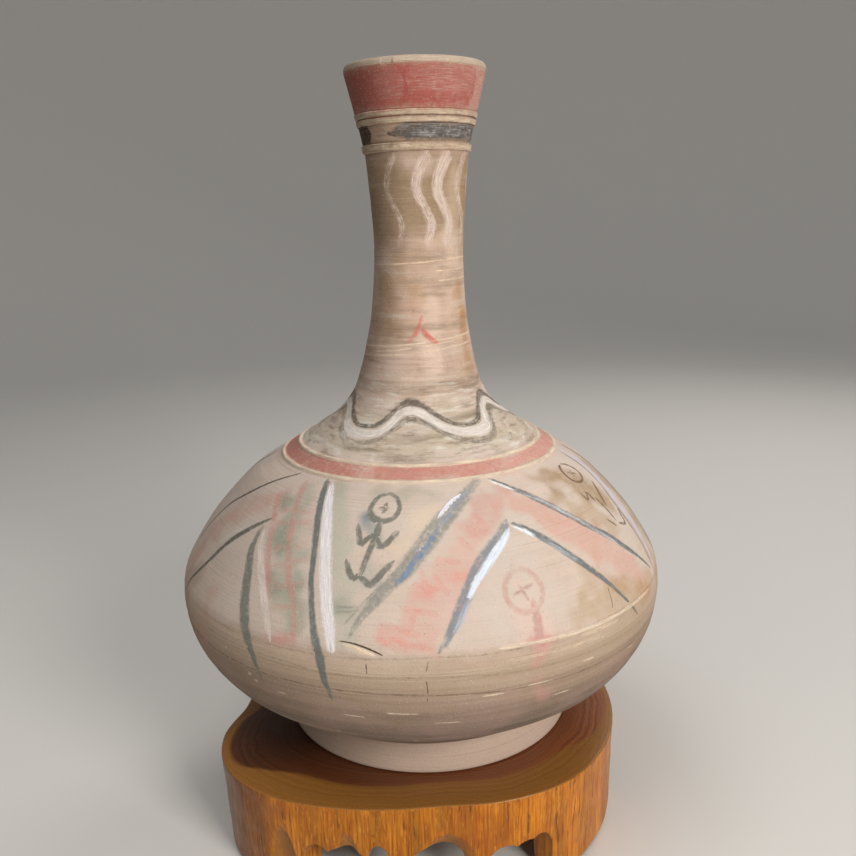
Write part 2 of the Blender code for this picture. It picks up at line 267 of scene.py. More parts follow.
def add(tree, kind, inputs=None, **settings):
    """A node with its settings. An input takes a value, a socket or a node's first output."""
    node = tree.nodes.new(kind)
    for name, value in settings.items():
        setattr(node, name, value)
    for name, value in (inputs or {}).items():
        if isinstance(value, bpy.types.Node):
            value = next(output for output in value.outputs if output.enabled)
        if isinstance(value, bpy.types.NodeSocket):
            tree.links.new(value, node.inputs[name])
        else:
            node.inputs[name].default_value = value
    return node


def new_material(name):
    """A material with a bare Principled shader, and its tree."""
    material = bpy.data.materials.new(name)
    material.use_nodes = True
    return material, material.node_tree, material.node_tree.nodes["Principled BSDF"]


# What a span of a coat says when a value is its share just as it is
AS_IS = (0.0, 1.0, 0.0, 1.0)


def coat(tree, under, tone, *spans):
    """A colour with a coat laid over it. Each span takes a pattern from a low to a high
    value and gives a share at both; their product is how much the coat covers. A coat
    without a tone makes the colour darker or lighter by that product."""
    under, tone = [linear(c) if isinstance(c, str) else c for c in (under, tone)]
    cover = 1.0
    for value, low, high, at_low, at_high in spans:
        share = add(tree, "ShaderNodeMapRange", {
            "Value": value, "From Min": low, "From Max": high, "To Min": at_low, "To Max": at_high})
        cover = add(tree, "ShaderNodeMath", {0: cover, 1: share}, operation="MULTIPLY")
    if tone is None:
        return add(tree, "ShaderNodeVectorMath", {0: under, "Scale": cover}, operation="SCALE").outputs[0]
    return add(tree, "ShaderNodeMix", {0: cover, 6: under, 7: tone}, data_type="RGBA").outputs[2]


# Lacquered hardwood: a tight-grained, orange-brown timber with pale sapwood. The
# end grain drinks the lacquer and turns dark red-brown in the heart. The carved
# sides show long fibres as fine streaks; the clear coat gives small sharp glints.
wood, tree, shader = new_material("lacquered_hardwood")
place = add(tree, "ShaderNodeTexCoord").outputs["Object"]
to_right = add(tree, "ShaderNodeSeparateXYZ", {0: place}).outputs["X"]
growth_mm, past_heart_mm, hollow = [
    add(tree, "ShaderNodeAttribute", attribute_name=name).outputs["Fac"]
    for name in ("growth", "sapwood", "scooped")]
patch = add(tree, "ShaderNodeTexNoise", {
    "Vector": place, "Scale": 24.0, "Detail": 5.0, "Roughness": 0.6}).outputs[0]
# Long fibres are 1 mm across and many times that along the trunk; open pores
# show as fine dark dots where they are cut across. How many cells a metre holds
# across and along, detail, roughness, distortion:
FIBRE_PATTERNS = (
    (900, 34, 5.0, 0.62, 0.3), (120, 9, 4.0, 0.5, 0.6), (380, 60, 2.0, 0.5, 0.0),
    (1300, 150, 2.0, 0.5, 0.0), (1500, 40, 2.0, 0.5, 0.0),
)
patterns = []
for across, along, detail, roughness, distortion in FIBRE_PATTERNS:
    spot = add(tree, "ShaderNodeVectorMath", {0: place, 1: (across, across, along)},
               operation="MULTIPLY")
    patterns.append(add(tree, "ShaderNodeTexNoise", {
        "Vector": spot, "Scale": 1.0, "Detail": detail, "Roughness": roughness,
        "Distortion": distortion}).outputs[0])
fibres, bands, flecks, bright_fibres_and_glints, pores = patterns
# Growth lines, about 1.6 mm apart, bent by the patchy growth of the tree
bent = add(tree, "ShaderNodeMath", {0: patch, 1: 10.0, 2: growth_mm}, operation="MULTIPLY_ADD")
ring_place = add(tree, "ShaderNodeCombineXYZ", {"X": bent})
growth_lines = add(tree, "ShaderNodeTexNoise", {
    "Vector": ring_place, "Scale": 0.55, "Detail": 5.0, "Roughness": 0.72}).outputs[0]
side = add(tree, "ShaderNodeValToRGB", {"Fac": fibres})
heart = add(tree, "ShaderNodeValToRGB", {"Fac": growth_lines})
FIBRE_TONES = ((0.27, "#7c3d0a"), (0.42, "#b06210"), (0.55, "#c67a18"), (0.68, "#d28a26"))
HEART_TONES = ((0.34, "#401e0f"), (0.68, "#744322"))
for node, tones in ((side, FIBRE_TONES), (heart, HEART_TONES)):
    stops = node.color_ramp.elements
    for spot, tone in tones:
        stops.new(spot).color = linear(tone)
    stops.remove(stops[0])
    stops.remove(stops[-1])
# Sides: bands of lighter and darker fibres, patches of redder wood, dark flecks, and bright fibres that
# are partly painted glints. The slice is painted darker towards its left end, which is painted shade.
red = (patch, 0.50, 0.64, 0.0, 0.55)
side = coat(tree, side, None, (bands, 0.34, 0.66, 0.62, 1.16))
side = coat(tree, side, "#974d17", red)
side = coat(tree, side, "#5e3216", (flecks, 0.63, 0.71, 0.0, 0.7))
# Bright fibres, partly painted glints
side = coat(tree, side, "#e2a44c", (bright_fibres_and_glints, 0.60, 0.72, 0.0, 0.5))
# Painted shade: the sides grow darker towards the slice's left end
side = coat(tree, side, None, (to_right, -0.120, -0.070, 0.20, 1.0))
# Painted shade in the hollows under the scoops
hollow_shade = coat(tree, "#96662f", "#70431f", red)
side = coat(tree, side, hollow_shade, (hollow, 0.0, 1.0, 0.0, 0.75))
# End grain: the heart fades from its edge inwards to a darker brown. It is also painted darker to the
# left and lighter to the right, which is painted shade and painted light. The sapwood round it is paler,
# with a ragged border.
heart = coat(tree, heart, None, (past_heart_mm, -34.0, -2.0, 0.55, 1.35),
             (to_right, -0.09, 0.09, 0.58, 1.80))
sap = coat(tree, "#633a12", "#b47d3a", (growth_lines, *AS_IS))
border = add(tree, "ShaderNodeMath", {0: patch, 1: 7.0, 2: past_heart_mm}, operation="MULTIPLY_ADD")
end = coat(tree, heart, sap, (border, 2.2, 4.8, 0.0, 1.0))
end = coat(tree, end, "#2a130a", (pores, 0.58, 0.72, 0.0, 0.5))
# Faces that look up or down are cut across the fibres
facing = add(tree, "ShaderNodeNewGeometry").outputs["True Normal"]
facing = add(tree, "ShaderNodeSeparateXYZ", {0: facing}).outputs["Z"]
upright = add(tree, "ShaderNodeMath", {0: facing}, operation="ABSOLUTE")
colour = coat(tree, side, end, (upright, 0.35, 0.8, 0.0, 1.0))
relief = add(tree, "ShaderNodeMath", {0: fibres, 1: pores}, operation="ADD")
relief = add(tree, "ShaderNodeMath", {0: patch, 1: 3.0, 2: relief}, operation="MULTIPLY_ADD")
dents = add(tree, "ShaderNodeBump", {"Height": relief, "Distance": 0.4 * MM, "Strength": 0.45})
gloss = add(tree, "ShaderNodeMapRange", {
    "Value": patch, "From Min": 0.3, "From Max": 0.7, "To Min": 0.28, "To Max": 0.48}).outputs[0]
for name, value in (("Base Color", colour), ("Normal", dents.outputs[0]), ("Roughness", gloss)):
    tree.links.new(value, shader.inputs[name])
for name, value in (("Specular IOR Level", 0.25), ("Coat Weight", 0.14), ("Coat Roughness", 0.16)):
    shader.inputs[name].default_value = value
stand_mesh.materials.append(wood)
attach(stand, "root")
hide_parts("stand")

# The bottle
# One pot of fired earthenware, thrown on a wheel: hollow, with a foot ring, a
# round belly and a tall neck that flares to a collar of turned rings. It
# stands on the slice by its foot ring and isn't fixed.
bottle_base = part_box("bottle")[0].z
BOTTLE_HEIGHT = 360.0
FOOT_RADIUS = 82.1
FOOT_TOP_RADIUS = 77.4
FOOT_HEIGHT = 15.5
FOOT_RIM_WIDTH = 9.0
FOOT_RECESS = 8.0
FLOOR_HEIGHT = 17.0
BODY_WALL = 6.5
RIM_WALL = 5.5
COLLAR_RADIUS = 28.0
RIM_RADIUS = 37.1
LIP_HEIGHT = 3.8
GROOVE_DEPTH = 0.6
COLLAR_FLARE = 1.15
# (height, radius) up the outside, from the foot's top to the collar
OUTLINE = (
    (15.5, 77.4), (21.0, 87.1), (27.0, 95.8), (32.4, 103.1), (38.0, 111.5), (43.2, 118.3),
    (54.0, 126.7), (64.8, 132.0), (75.6, 134.6), (86.4, 135.2), (97.3, 133.2), (108.0, 127.4),
    (122.3, 117.8), (136.8, 105.0), (148.3, 92.4), (158.3, 75.4), (169.1, 58.5), (179.8, 44.1),
    (190.6, 36.2), (201.3, 32.4), (215.8, 29.0), (233.8, 26.0), (265.9, 24.1), (290.9, 25.3),
    (315.9, 27.4),
)
COLLAR_START = OUTLINE[-1][0]
# The rings turned into the collar: lowest and highest edge, and how proud
COLLAR_RINGS = (
    (316.3, 319.9, 0.5), (320.8, 329.0, -0.3), (329.4, 332.0, 0.5), (332.9, 335.3, 0.5),
    (335.7, 356.2, 0.0),
)
RAISED_LINES = (157.7, 163.4)
RAISED_LINE_HALF_WIDTH = 0.95
RAISED_LINE_PROUD = 0.9
# The pot isn't true: its axis stands this far to +X, at shares of its height
RIM_OFFSET = 3.7
OUT_OF_TRUE = ((0.0, 0.70), (0.24, 0.0), (0.50, 0.30), (0.75, 0.92), (1.0, 1.0))


def outline(z):
    """Radius of the outside without its raised lines and collar rings."""
    body = smooth(OUTLINE, np.minimum(z, COLLAR_START))
    share = np.clip((z - COLLAR_START) / (BOTTLE_HEIGHT - LIP_HEIGHT - COLLAR_START), 0.0, 1.0)
    collar = COLLAR_RADIUS + (RIM_RADIUS - COLLAR_RADIUS) * share**COLLAR_FLARE
    below = FOOT_TOP_RADIUS + (FOOT_RADIUS - FOOT_TOP_RADIUS) * (1 - z / FOOT_HEIGHT)
    return np.where(z > COLLAR_START, collar, np.where(z < FOOT_HEIGHT, below, body))


def lean(z):
    """How far the pot's axis has moved to +X at a height, mm."""
    return RIM_OFFSET * smooth(OUT_OF_TRUE, np.clip(z / BOTTLE_HEIGHT, 0.0, 1.0))


def square_to(radius, z):
    """Unit direction, square to a profile, that points out of it."""
    dr, dz = np.gradient(radius), np.gradient(z)
    length = np.hypot(dr, dz)
    return dz / length, -dr / length


# Rows of the body, close together at the raised lines and where it is painted
PAINTED_FROM, PAINTED_TO = 60, 200
LINE_ROWS, PAINTED_ROWS, PLAIN_ROWS = 0.42, 1.8, 3.2
fine = np.linspace(FOOT_HEIGHT, COLLAR_START, 6001)
raised = sum(bump(fine - line, RAISED_LINE_HALF_WIDTH) for line in RAISED_LINES) * RAISED_LINE_PROUD
radius = outline(fine)
out_r, out_z = square_to(radius, fine)
radius, height = radius + raised * out_r, fine + raised * out_z
near_line = np.min([np.abs(fine - line) for line in RAISED_LINES], axis=0) < 2.0
painted = (fine > PAINTED_FROM) & (fine < PAINTED_TO)
spacing = np.where(near_line, LINE_ROWS, np.where(painted, PAINTED_ROWS, PLAIN_ROWS))
travel = np.append(0.0, np.cumsum(np.hypot(np.diff(radius), np.diff(height)) / spacing[1:]))
steps = np.linspace(0.0, travel[-1], int(travel[-1]) + 1)
body_rows = list(zip(np.interp(steps, travel, radius), np.interp(steps, travel, height)))

# A gap between two rings is a groove, unless it is only a step
LEAST_GROOVE = 0.5
RING_ROUND = 0.35
collar_rows = []
for low, high, proud in COLLAR_RINGS:
    last = collar_rows[-1][1] if collar_rows else low
    if low - last > LEAST_GROOVE:
        for share in (0.25, 0.75):
            z = collar_rows[-1][1] + (low - collar_rows[-1][1]) * share
            collar_rows.append((float(outline(z)) - GROOVE_DEPTH, z))
    soft = min(RING_ROUND, (high - low) / 4)
    flat = np.linspace(low + soft, high - soft, 3 + int(high - low) // 2)
    for z in [low, low + soft / 2, *flat, high - soft / 2, high]:
        rounding = soft * (1 - sqrt(max(0.0, 1 - (1 - min(z - low, high - z, soft) / soft)**2)))
        collar_rows.append((float(outline(z)) + proud - 0.6 * rounding, z))
lip_rows = []
for turn in np.linspace(0.0, 180.0, 12):
    across = RIM_WALL / 2 * (1 - cos(radians(turn)))
    lip_rows.append((RIM_RADIUS - across, BOTTLE_HEIGHT - LIP_HEIGHT * (1 - sin(radians(turn))**0.6)
                     - 1.4 * (turn / 180.0)**3))
inner_foot = FOOT_RADIUS - FOOT_RIM_WIDTH
under_rows = [(0.0, FOOT_RECESS), (20.0, FOOT_RECESS), (45.0, FOOT_RECESS), (66.0, FOOT_RECESS),
              (inner_foot - 2.0, FOOT_RECESS - 0.4), (inner_foot - 0.8, FOOT_RECESS - 2.0),
              (inner_foot - 0.4, 2.0), (inner_foot + 0.4, 0.5), (inner_foot + 1.5, 0.0)]
foot_rows = [(FOOT_RADIUS - 5.0, 0.0), (FOOT_RADIUS - 1.3, 0.0), (FOOT_RADIUS - 0.5, 0.3),
             (FOOT_RADIUS - 0.1, 1.0), (FOOT_RADIUS - 0.4, 2.2)]
for share in (0.35, 0.55, 0.75, 0.88):
    foot_rows.append((float(outline(FOOT_HEIGHT * share)), FOOT_HEIGHT * share))
z = np.linspace(FLOOR_HEIGHT + 2.5, COLLAR_START - 4.0, 24)
wall = outline(z)
out_r, out_z = square_to(wall, z)
inside_rows = [(COLLAR_RADIUS - RIM_WALL + wider, COLLAR_START + up)
               for wider, up in ((6.0, 26.0), (2.6, 12.0), (0.0, 0.0))]
inside_rows += list(zip((wall - BODY_WALL * out_r)[::-1], (z - BODY_WALL * out_z)[::-1]))
lowest = inside_rows[-1][0]
inside_rows += [(lowest - 3.0, FLOOR_HEIGHT + 0.5), (lowest - 8.0, FLOOR_HEIGHT), (40.0, FLOOR_HEIGHT),
                (20.0, FLOOR_HEIGHT), (0.0, FLOOR_HEIGHT)]
profile = under_rows + foot_rows + body_rows + collar_rows + lip_rows + inside_rows
# Where the wheel's ridges show: only on the outside, and less under the paint
PAINT_START, PAINT_END = 93, 195
ridged = [0.0] * len(under_rows + foot_rows)
ridged += [0.5 if PAINT_START <= z < PAINT_END else 1.0 for r, z in body_rows]
ridged += [0.5] * len(collar_rows)
ridged += [0.0] * len(lip_rows + inside_rows)

# The profile is a line of points: radius, how far the axis leans, height
heights = np.array([z for r, z in profile])
line_points = np.stack([[r for r, z in profile], lean(heights), heights], 1) * MM
line_points[:, 2] += bottle_base
profile_mesh = bpy.data.meshes.new("pot_profile")
profile_mesh.from_pydata(line_points.tolist(), [], [])
ridge_share = profile_mesh.attributes.new("ridged", "FLOAT", "POINT")
ridge_share.data.foreach_set("value", ridged)
pot = bpy.data.objects.new("thrown_pot", profile_mesh)
bpy.context.scene.collection.objects.link(pot)

# The wheel: a grid whose every column is the profile, turned round the axis.
# Columns stand closer together at the painted front.
wheel = bpy.data.node_groups.new("potters_wheel", "GeometryNodeTree")
WHEEL_INPUTS = (
    ("Profile", "NodeSocketGeometry", None), ("Columns", "NodeSocketInt", 320),
    ("Rows", "NodeSocketInt", len(profile)), ("Front Crowding", "NodeSocketFloat", 0.45),
    ("Ridge Spacing", "NodeSocketFloat", 5.5 * MM), ("Ridge Height", "NodeSocketFloat", 0.5 * MM),
    ("Ridge Length", "NodeSocketFloat", 180 * MM), ("Seed", "NodeSocketFloat", 4.0),
    ("Clay", "NodeSocketMaterial", None),
)
for name, kind, value in WHEEL_INPUTS:
    wheel.interface.new_socket(name, in_out="INPUT", socket_type=kind)
wheel.interface.new_socket("Pot", in_out="OUTPUT", socket_type="NodeSocketGeometry")
given = add(wheel, "NodeGroupInput").outputs
closed = add(wheel, "ShaderNodeMath", {0: given["Columns"], 1: 1.0}, operation="ADD")
grid = add(wheel, "GeometryNodeMeshGrid", {"Vertices X": closed, "Vertices Y": given["Rows"]})
index = add(wheel, "GeometryNodeInputIndex")
row = add(wheel, "ShaderNodeMath", {0: index, 1: given["Rows"]}, operation="MODULO")
column = add(wheel, "ShaderNodeMath", {0: index, 1: given["Rows"]}, operation="DIVIDE")
column = add(wheel, "ShaderNodeMath", {0: column}, operation="FLOOR")
place = add(wheel, "GeometryNodeSampleIndex",
            {"Geometry": given["Profile"], "Value": add(wheel, "GeometryNodeInputPosition"),
             "Index": row}, data_type="FLOAT_VECTOR")
ridge_input = add(wheel, "GeometryNodeInputNamedAttribute", {"Name": "ridged"})
ridge_share = add(wheel, "GeometryNodeSampleIndex",
                  {"Geometry": given["Profile"], "Value": ridge_input, "Index": row})
turn = add(wheel, "ShaderNodeMath", {0: column, 1: given["Columns"]}, operation="DIVIDE")
turn = add(wheel, "ShaderNodeMath", {0: turn, 1: tau, 2: -pi}, operation="MULTIPLY_ADD")
crowd = add(wheel, "ShaderNodeMath", {0: turn}, operation="SINE")
crowd = add(wheel, "ShaderNodeMath", {0: crowd, 1: given["Front Crowding"]}, operation="MULTIPLY")
turn = add(wheel, "ShaderNodeMath", {0: turn, 1: crowd}, operation="SUBTRACT")
parts = add(wheel, "ShaderNodeSeparateXYZ", {0: place}).outputs
side_share = add(wheel, "ShaderNodeMath", {0: turn}, operation="SINE")
front_share = add(wheel, "ShaderNodeMath", {0: turn}, operation="COSINE")
x = add(wheel, "ShaderNodeMath", {0: side_share, 1: parts["X"], 2: parts["Y"]}, operation="MULTIPLY_ADD")
y = add(wheel, "ShaderNodeMath", {0: front_share, 1: parts["X"]}, operation="MULTIPLY")
y = add(wheel, "ShaderNodeMath", {0: y, 1: -1.0}, operation="MULTIPLY")
turned_place = add(wheel, "ShaderNodeCombineXYZ", {"X": x, "Y": y, "Z": parts["Z"]})
shape = add(wheel, "GeometryNodeSetPosition",
            {"Geometry": grid.outputs["Mesh"], "Position": turned_place})
shape = add(wheel, "GeometryNodeStoreNamedAttribute",
            {"Geometry": shape, "Name": "ridged", "Value": ridge_share}, data_type="FLOAT")
shape = add(wheel, "GeometryNodeMergeByDistance", {"Geometry": shape, "Distance": 0.002 * MM})
# Finger ridges run round the pot, long and low, and no two turns are alike
across_ridges = add(wheel, "ShaderNodeMath", {0: 1.0, 1: given["Ridge Spacing"]}, operation="DIVIDE")
along_ridges = add(wheel, "ShaderNodeMath", {0: 1.0, 1: given["Ridge Length"]}, operation="DIVIDE")
stretch = add(wheel, "ShaderNodeCombineXYZ", {"X": along_ridges, "Y": along_ridges, "Z": across_ridges})
ridge_place = add(wheel, "ShaderNodeVectorMath",
                  {0: add(wheel, "GeometryNodeInputPosition"), 1: stretch}, operation="MULTIPLY")
ridges = add(wheel, "ShaderNodeTexNoise", {"Vector": ridge_place, "W": given["Seed"], "Scale": 1.0,
                                           "Detail": 2.0}, noise_dimensions="4D")
lift = add(wheel, "ShaderNodeMath", {0: ridges, 1: 0.5}, operation="SUBTRACT")
lift = add(wheel, "ShaderNodeMath", {0: lift, 1: given["Ridge Height"]}, operation="MULTIPLY")
own_share = add(wheel, "GeometryNodeInputNamedAttribute", {"Name": "ridged"})
lift = add(wheel, "ShaderNodeMath", {0: lift, 1: own_share}, operation="MULTIPLY")
offset = add(wheel, "ShaderNodeVectorMath", {0: add(wheel, "GeometryNodeInputNormal"), "Scale": lift},
             operation="SCALE")
shape = add(wheel, "GeometryNodeSetPosition", {"Geometry": shape, "Offset": offset})
shape = add(wheel, "GeometryNodeSetShadeSmooth", {"Geometry": shape})
shape = add(wheel, "GeometryNodeRealizeInstances", {"Geometry": shape})
shape = add(wheel, "GeometryNodeSetMaterial", {"Geometry": shape, "Material": given["Clay"]})
add(wheel, "NodeGroupOutput", {0: shape})

clay, tree, shader = new_material("painted_earthenware")
modifier = pot.modifiers.new("potters_wheel", "NODES")
modifier.node_group = wheel
for item in wheel.interface.items_tree:
    value = clay if item.name == "Clay" else dict((n, v) for n, _, v in WHEEL_INPUTS).get(item.name)
    if value is not None:
        modifier[item.identifier] = value
turned_pot = pot.evaluated_get(bpy.context.evaluated_depsgraph_get())
pot_mesh = bpy.data.meshes.new_from_object(turned_pot)
pot.modifiers.remove(modifier)
pot.data = pot_mesh

# The paint
# Earth colours brushed on the fired clay and never fired again, so they are
# matt and rub off: washes, red, white, grey-black and a cold light blue.

# Each mark is a line of the brush over the pot: (azimuth, height mm, half width
# mm). Azimuth runs from the front, 0, to the right, in degrees.
marks = {"wash": [], "red": [], "dark": [], "white": [], "light": []}


def brush(paint, colour, load, points, width=None):
    """One line of the brush. A full load covers; a low one leaves a dry, broken line."""
    if width is not None:
        points = [(azimuth, z, width) for azimuth, z in points]
    marks[paint].append((linear(colour)[:3] + [load], points))


def hoop(paint, colour, load, z, width, start=-180.0, stop=205.0, tilt=0.0):
    """A line round the pot, which rises by tilt to the right."""
    spots = np.linspace(start, stop, max(3, int((stop - start) / 12)))
    brush(paint, colour, load, [(a, z + tilt * sin(radians(a)), width) for a in spots])


def circle(paint, colour, load, azimuth, z, reach_azimuth, reach_z, width):
    """A ring of the brush, which starts and ends at its top."""
    spots = np.linspace(90.0, 455.0, 17)
    brush(paint, colour, load, [
        (azimuth + reach_azimuth * cos(radians(a)), z + reach_z * sin(radians(a)), width) for a in spots])


# Rim and collar: red over a pink wash, streaked by the turning of the pot
hoop("wash", "#bd8a7f", 0.95, 346.0, 9.6)
hoop("red", "#9b463d", 0.70, 346.0, 10.2, -200.0, 62.0)
hoop("red", "#a15b52", 0.52, 346.0, 10.2, 58.0, 175.0)
hoop("white", "#a9857c", 0.48, 347.0, 7.5, -36.0, -8.0)
hoop("white", "#b88e82", 0.44, 349.0, 5.5, -8.0, 60.0)
hoop("white", "#c0a58f", 0.52, 345.0, 8.8, 60.0, 84.0)
hoop("dark", "#0c0b09", 1.0, 324.9, 4.3, -192.0, -51.0)
brush("dark", "#6d6152", 0.42, [(-44, 325.2, 2.2), (-36, 324.9, 2.2), (-30, 325, 1.6)])
brush("dark", "#403d3a", 0.76, [(-31, 324.6, 0.4), (-25, 324.8, 1.6), (-17, 325, 2.9),
    (-6, 325, 3.7), (20, 325, 3.8), (50, 325, 3.8), (80, 325, 3.8), (110, 325, 3.8), (140, 325, 3)])
hoop("white", "#a3a09f", 0.38, 325.2, 3.2, -20.0, 84.0)
for z, width in ((318.1, 1.1), (330.7, 1.0), (334.1, 0.8)):
    hoop("white", "#cbb99f", 0.54, z, width)
hoop("white", "#b8a793", 0.80, 358.6, 2.2)

# White waves down the neck, under the collar. They go round to the right and
# leave the left side bare.
NECK_WAVE = ((316, 4, 1.35), (305, -7, 1.3), (296, -9, 1.15), (287, 1, 1.0), (279, 8, 1.1), (268, 2, 0.9))
WAVE_PLACES = ((-28, 1.4, 0.46), (8.5, 2.0, 0.62), (33, 2.4, 0.74), (62, 1.8, 0.5), (94, 2.0, 0.6),
               (125, 1.8, 0.6), (157, 2.2, 0.6), (188, 1.6, 0.5), (219, 1.9, 0.6), (250, 1.3, 0.5))
for azimuth, width, load in WAVE_PLACES:
    brush("white", "#d2beb1", load, [(azimuth + a, z, width * share) for z, a, share in NECK_WAVE])
hoop("wash", "#8f7858", 0.60, 293.0, 20.0)
for azimuth, z, tone in ((-20, 300, "#8f7c5c"), (14, 296, "#93805f"), (44, 290, "#a48a66"),
        (-6, 284, "#9b8666"), (22, 276, "#a79072")):
    brush("wash", tone, 0.45, [(azimuth, z + 7, 2), (azimuth + 2, z, 3), (azimuth, z - 6, 2)])
brush("wash", "#cdb3a6", 0.60, [(-20, 312, 4), (0, 310, 5), (16, 308, 3)])
brush("wash", "#d6bda9", 0.60, [(-12, 272, 3), (10, 270, 4), (44, 272, 4)])

# Thin light lines cut round the neck by the wheel
hoop("white", "#dcc3a8", 0.74, 260.6, 0.4, tilt=1.6)
hoop("white", "#dcc6a8", 0.60, 255.5, 0.35, 20.0, 120.0, 1.0)
hoop("white", "#dcc6a8", 0.60, 250.5, 0.35, 24.0, 130.0, 1.0)
hoop("white", "#d9c3aa", 0.72, 218.9, 0.45, tilt=2.8)
hoop("white", "#d9c3aa", 0.62, 216.9, 0.35, tilt=3.6)
hoop("white", "#d9c3aa", 0.62, 214.2, 0.35, tilt=3.0)
# A faint red mark low on the neck
brush("red", "#c5665a", 0.50, [(4.5, 234.6, 0.8), (2, 230.2, 1.1), (-1, 226.2, 1.2),
    (-7, 221.8, 1.0), (-16, 218.6, 0.8)])
brush("red", "#c25c50", 0.62, [(1, 228, 1.0), (10, 222.4, 1.4), (23, 217.8, 1.1)])
brush("wash", "#c59080", 0.50, [(-42, 236, 2), (-22, 236.4, 2.4), (-6, 236, 3), (6, 231, 3)])
brush("wash", "#e0c6b5", 0.64, [(10, 244, 4), (14, 232, 5), (12, 212, 5), (14, 202, 4)])

# The wave round the shoulder, five times: white between two grey lines.
# Places are azimuth from a crest, and height.
WAVE_LENGTH = 72.0
FIRST_CREST = -78.5
WHITE_WAVE = ((0, 185.5, 2.1), (9, 184.0, 2.2), (22, 178.0, 2.3), (32, 175.2, 2.7), (42, 174.3, 3.2),
              (52, 175.0, 3.0), (58, 178.5, 2.5), (65, 183.8, 2.2))
UPPER_WAVE = ((-2, 188.9, 2.3), (9, 187.6, 2.0), (20, 182.6, 1.5), (31, 178.4, 1.4), (41, 177.3, 1.5),
              (51, 178.8, 1.7), (60, 184.4, 1.9))
LOWER_WAVE = ((0, 181.6, 2.3), (10, 180.2, 1.9), (20, 176.0, 1.6), (32, 171.8, 1.7), (42, 170.4, 2.0),
              (52, 171.6, 2.2), (62, 177.2, 1.8))


def wave_round(places):
    """Places of one wave, repeated round the pot and a little past its start."""
    spots = [(FIRST_CREST + WAVE_LENGTH * k + a, z, width) for k in range(6) for a, z, width in places]
    return [spot for spot in spots if spot[0] < FIRST_CREST + 385.0]


brush("white", "#d9d1c8", 0.64, wave_round(WHITE_WAVE))
brush("white", "#cdbfae", 0.5, [(-45, 171.5), (-30, 169.5), (-20, 172)], 1.2)
brush("dark", "#59534a", 0.62, wave_round(UPPER_WAVE))
brush("dark", "#6a645a", 0.50, wave_round(LOWER_WAVE))
for points in ([(51, 187), (57, 181), (60, 175)], [(47, 170), (54, 168.5), (60, 170)], [(58, 172),
        (66, 176)], [(-52, 178), (-46, 172), (-36, 168)]):
    brush("dark", "#77736a", 0.42, points, 1.6)

# The red ring between its two raised lines
middle = sum(RAISED_LINES) / 2
slope = np.diff(outline(np.array(RAISED_LINES)))[0]
ring_reach = np.hypot(slope, RAISED_LINES[1] - RAISED_LINES[0]) / 2 - 0.9
hoop("wash", "#cda192", 0.9, middle, ring_reach)
hoop("red", "#b3695c", 0.62, middle, ring_reach, -200.0, -20.0)
hoop("red", "#bb7769", 0.56, middle, ring_reach, -26.0, 40.0)
hoop("red", "#c27a6c", 0.46, middle, ring_reach, 34.0, 165.0)
for line in RAISED_LINES:
    hoop("white", "#d8c7ae", 0.66, line, 0.8)

